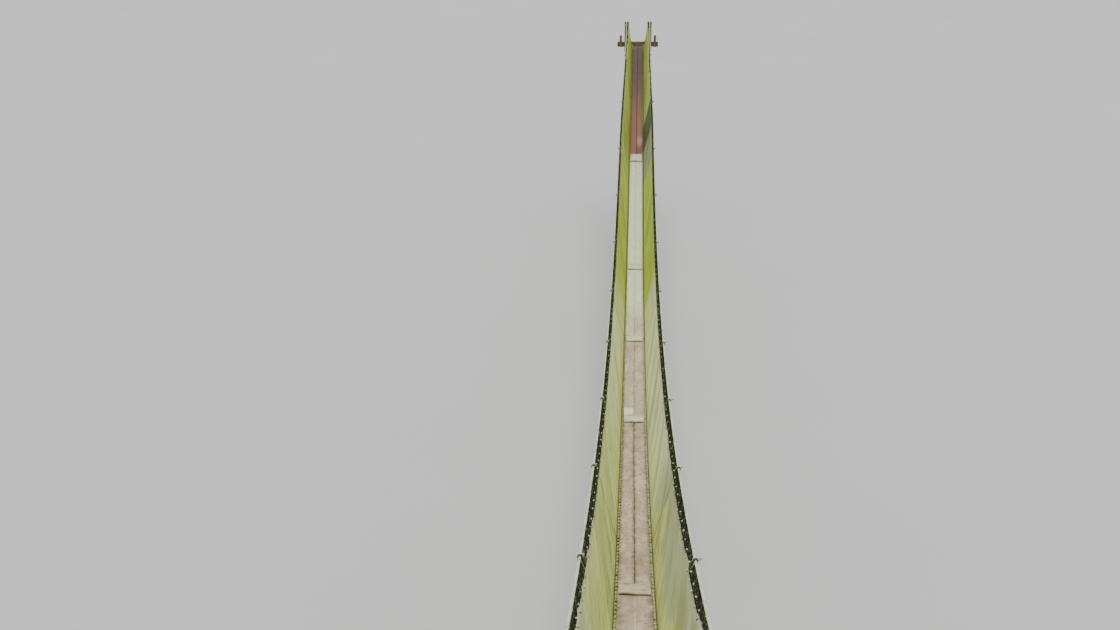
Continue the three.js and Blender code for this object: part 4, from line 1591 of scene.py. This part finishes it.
def loop_growth():
    loops = Growth("foot loops", spacing=FOOT_LOOP_SPACING, knot=FOOT_KNOT, hand=1.0, seed=8)
    line = loops.node("GeometryNodeMeshToCurve", None, {"Mesh": loops.given("Geometry")})
    inputs = {"Curve": line, "Length": loops.given("spacing")}
    spread = loops.node("GeometryNodeCurveToPoints", {"mode": "LENGTH"}, inputs, "Points")
    tangent = Output(loops, find_socket(spread.socket.node.outputs, "Tangent"))
    circle = {"Resolution": 10, "Radius": FOOT_LOOP_RADIUS}
    ring = loops.node("GeometryNodeCurvePrimitiveCircle", {"mode": "RADIUS"}, circle)
    section = {"Resolution": 5, "Radius": FOOT_LOOP_CORD}
    section = loops.node("GeometryNodeCurvePrimitiveCircle", {"mode": "RADIUS"}, section)
    ring = loops.node("GeometryNodeCurveToMesh", None, {"Curve": ring, "Profile Curve": section})
    ring = loops.stored(ring, "loop", 1.0)
    knot = rough_ball(loops, loops.given("knot"))
    reach = FOOT_LOOP_RADIUS + 0.003
    across = loops.given("hand") * (reach * math.cos(FOOT_KNOT_ANGLE))
    place = loops.vector(across, -reach * math.sin(FOOT_KNOT_ANGLE), 0.0)
    knot = loops.node("GeometryNodeTransform", None, {"Geometry": knot, "Translation": place})
    both = loops.node("GeometryNodeJoinGeometry")
    for part in (ring, knot):
        loops.tree.links.new(part.socket, both.socket.node.inputs[0])
    points = loops.stored(spread, "tone", loops.random(0.0, 1.0, 1))
    along_rope = {"Rotation": (0.0, 0.0, 0.0), "Vector": tangent}
    turn = loops.node("FunctionNodeAlignRotationToVector", {"axis": "Z"}, along_rope)
    lean_x, lean_y = loops.random(-0.22, 0.22, 2), loops.random(-0.25, 0.25, 3)
    lean = loops.turn(lean_x, lean_y, loops.random(-0.35, 0.35, 4))
    inputs = {"Rotation": turn, "Rotate By": lean}
    turn = loops.node("FunctionNodeRotateRotation", {"rotation_space": "LOCAL"}, inputs)
    size = loops.random(0.92, 1.1, 5)
    return loops.scattered(points, both, turn, loops.vector(size, size, size))


foot_loops = loop_growth()
dirty_lumps = lump_finish("dirty knots", paint(190, 182, 142), paint(66, 60, 38), 0.7)
for side, hand, finish in (("left", -1, dirty_lumps), ("right", 1, pale_lumps)):
    places = np.arange(FOOT_LOOPS_FROM_BANK, far_bank - FOOT_LOOPS_FROM_BANK, 0.1)
    route = [(hand * foot_x, float(y), float(foot_z(y))) for y in places]
    loops = grow_along(
        f"foot_lashing_{side}", foot_loops, finish, [route], hand=float(hand), seed=8 + hand
    )
    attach(loops, "root")


# The lashings under the deck: three turns of brown cord bind each cross-beam to each foot rope.
BEAM_CORD = 0.0038
BEAM_TURNS = (-0.0105, 0.0, 0.0105)

beside = BEAM_SIDE / 2 + BEAM_CORD
over = 2 * FOOT_ROPE_RADIUS + BEAM_CORD + 0.002
under = -BEAM_SIDE - BEAM_CORD
# One turn's outline: how far ahead of the beam's middle, and how far above the beam.
turn_outline = [
    (-0.008, over), (0, over + 0.002), (0.008, over), (0.0165, over * 0.62), (beside - 0.006, 0.003),
    (beside, -0.006), (beside, -BEAM_SIDE / 2), (beside, -BEAM_SIDE + 0.004), (beside - 0.007, under),
    (0, under - 0.001),
]
turn_outline += [(-a, b) for a, b in turn_outline[:2:-1]]

lashing_routes = []
for number, y in enumerate(hanger_places):
    lean = float(slope(y))
    ahead = Vector((0, math.cos(lean), math.sin(lean)))
    square_up = Vector((0, -math.sin(lean), math.cos(lean)))
    level = Vector((0, y, float(foot_z(y)))) - square_up * FOOT_ROPE_RADIUS
    for hand in (-1, 1):
        for turn in BEAM_TURNS:
            across = hand * (foot_x + turn) + 0.0015 * math.sin(7 * number + 90 * turn)
            lashing_routes.append([
                tuple(level + ahead * a + square_up * b + Vector((across + 0.004 * b / beside, 0, 0)))
                for a, b in turn_outline
            ])
brown_cord = cord_finish("brown cord", paint(132, 116, 78), paint(54, 46, 30))
beam_lashings = grow_along(
    "beam_lashings", thin_cord, brown_cord, lashing_routes, closed=True, radius=BEAM_CORD, sides=6
)
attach(beam_lashings, "root")


# The timbers of the banks: sills and anchor logs laid across, posts and stakes upright. All are
# axe-hewn hardwood with worn arrises, grey where dry and dark near the ground.
POST_CORNER = 0.012
LOG_CORNER = 0.02
STAKE_SIDE = 0.09
STAKE_X = 0.625

across_timbers, upright_timbers = Skin(), Skin()
for number, bank in enumerate(("near", "far")):
    sill_low, sill_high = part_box(f"{bank}_sill")
    sill_middle = (sill_low + sill_high) / 2
    start, stop = Vector((sill_low.x, *sill_middle.yz)), Vector((sill_high.x, *sill_middle.yz))
    deep, high = sill_high.y - sill_low.y, sill_high.z - sill_low.z
    hew(
        across_timbers, start, stop, (0, 0, 1), deep, high, 610 + number,
        corner=POST_CORNER, ends=0.004, uneven=0.002, wetness=0.35, whiteness=0.0,
    )
    anchor_low, anchor_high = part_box(f"{bank}_anchor")
    log_y = anchor_low.y + ANCHOR_SIDE / 2 if bank == "near" else anchor_high.y - ANCHOR_SIDE / 2
    stake_y = anchor_high.y - STAKE_SIDE / 2 if bank == "near" else anchor_low.y + STAKE_SIDE / 2
    start = Vector((anchor_low.x, log_y, ANCHOR_SIDE / 2))
    stop = Vector((anchor_high.x, log_y, ANCHOR_SIDE / 2))
    hew(
        across_timbers, start, stop, (0, 0, 1), ANCHOR_SIDE, ANCHOR_SIDE, 640 + number,
        corner=LOG_CORNER, ends=0.01, uneven=0.004, wetness=0.5, whiteness=0.0,
    )
    for hand in (-1, 1):
        post_low, post_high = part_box(f"{bank}_post_{'left' if hand < 0 else 'right'}")
        post_middle = (post_low + post_high) / 2
        start, stop = Vector((*post_middle.xy, post_low.z)), Vector((*post_middle.xy, post_high.z))
        wide = post_high.x - post_low.x
        hew(
            upright_timbers, start, stop, (0, 1, 0), wide, wide, 660 + 5 * number + hand,
            corner=POST_CORNER, ends=0.007, uneven=0.0025, wetness=0.25, whiteness=0.1,
        )
        start = Vector((hand * STAKE_X, stake_y, 0))
        stop = Vector((hand * STAKE_X, stake_y, anchor_high.z))
        hew(
            upright_timbers, start, stop, (0, 1, 0), STAKE_SIDE, STAKE_SIDE, 690 + 5 * number + hand,
            corner=POST_CORNER, ends=0.012, uneven=0.003, wetness=0.45, whiteness=0.0,
        )

upright_finish = wood_finish(
    "rough timber set upright", paint(138, 116, 92), paint(174, 158, 134), paint(200, 190, 170),
    paint(94, 70, 50), paint(74, 76, 48), grain=(1, 1, 0.035), grain_depth=0.0016, blotched=0.42,
)
bank_across = solid_object("bank_sills_and_logs", across_timbers, cross_timber)
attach(bank_across, "root")
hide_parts("near_sill", "far_sill", "near_anchor", "far_anchor")
bank_upright = solid_object("bank_posts_and_stakes", upright_timbers, upright_finish)
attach(bank_upright, "root")
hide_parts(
    "near_anchor", "far_anchor",
    *(f"{bank}_post_{side}" for bank in ("near", "far") for side in ("left", "right")),
)


# The lashings on the posts: four turns of rope round each head, and two passes over the handrail
# and the end of the net rope, with their ends tucked under the turns.
POST_ROPE = 0.0062
POST_TURNS = 4
POST_TURN_STEPS = 32
POST_TURN_PITCH = 0.0128
POST_TURNS_BELOW = 0.055
POST_SQUARENESS = 0.22

post_routes = []
for bank in ("near", "far"):
    for side in ("left", "right"):
        post_low, post_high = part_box(f"{bank}_post_{side}")
        middle = (post_low + post_high) / 2
        half = (post_high.x - post_low.x) / 2 + POST_ROPE - 0.002
        turns = []
        for step in range(POST_TURNS * POST_TURN_STEPS + 1):
            turned = step / POST_TURN_STEPS
            flat_x, flat_y = squared_turn(math.tau * turned, POST_SQUARENESS)
            level = post_high.z - POST_TURNS_BELOW - POST_TURN_PITCH * turned
            turns.append((middle.x + half * flat_x, middle.y + half * flat_y, level))
        post_routes.append(turns)
        for offset in (-0.024, 0.021):
            low_z, high_z = post_high.z - POST_TURNS_BELOW - 0.05, post_high.z
            rail_top = high_z + 2 * RAIL_RADIUS + POST_ROPE
            outline = [
                (-half - 0.003, low_z), (-half - 0.005, high_z - 0.05), (-half - 0.001, high_z - 0.004),
                (-half + 0.012, high_z + 0.006), (-0.014, rail_top - 0.004), (0, rail_top + 0.001),
            ]
            outline += [(-a, b) for a, b in outline[4::-1]]
            post_routes.append([(middle.x + a, middle.y + offset + 0.05 * a, b) for a, b in outline])
post_routes = [eased(route, 0.005, 0.008) for route in post_routes]
post_lashings = grow_along(
    "post_lashings", laid_rope, pale_cord, post_routes,
    radius=POST_ROPE, lay=0.042, step=0.009, sides=2, groove=0.22,
)
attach(post_lashings, "root")


low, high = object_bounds()
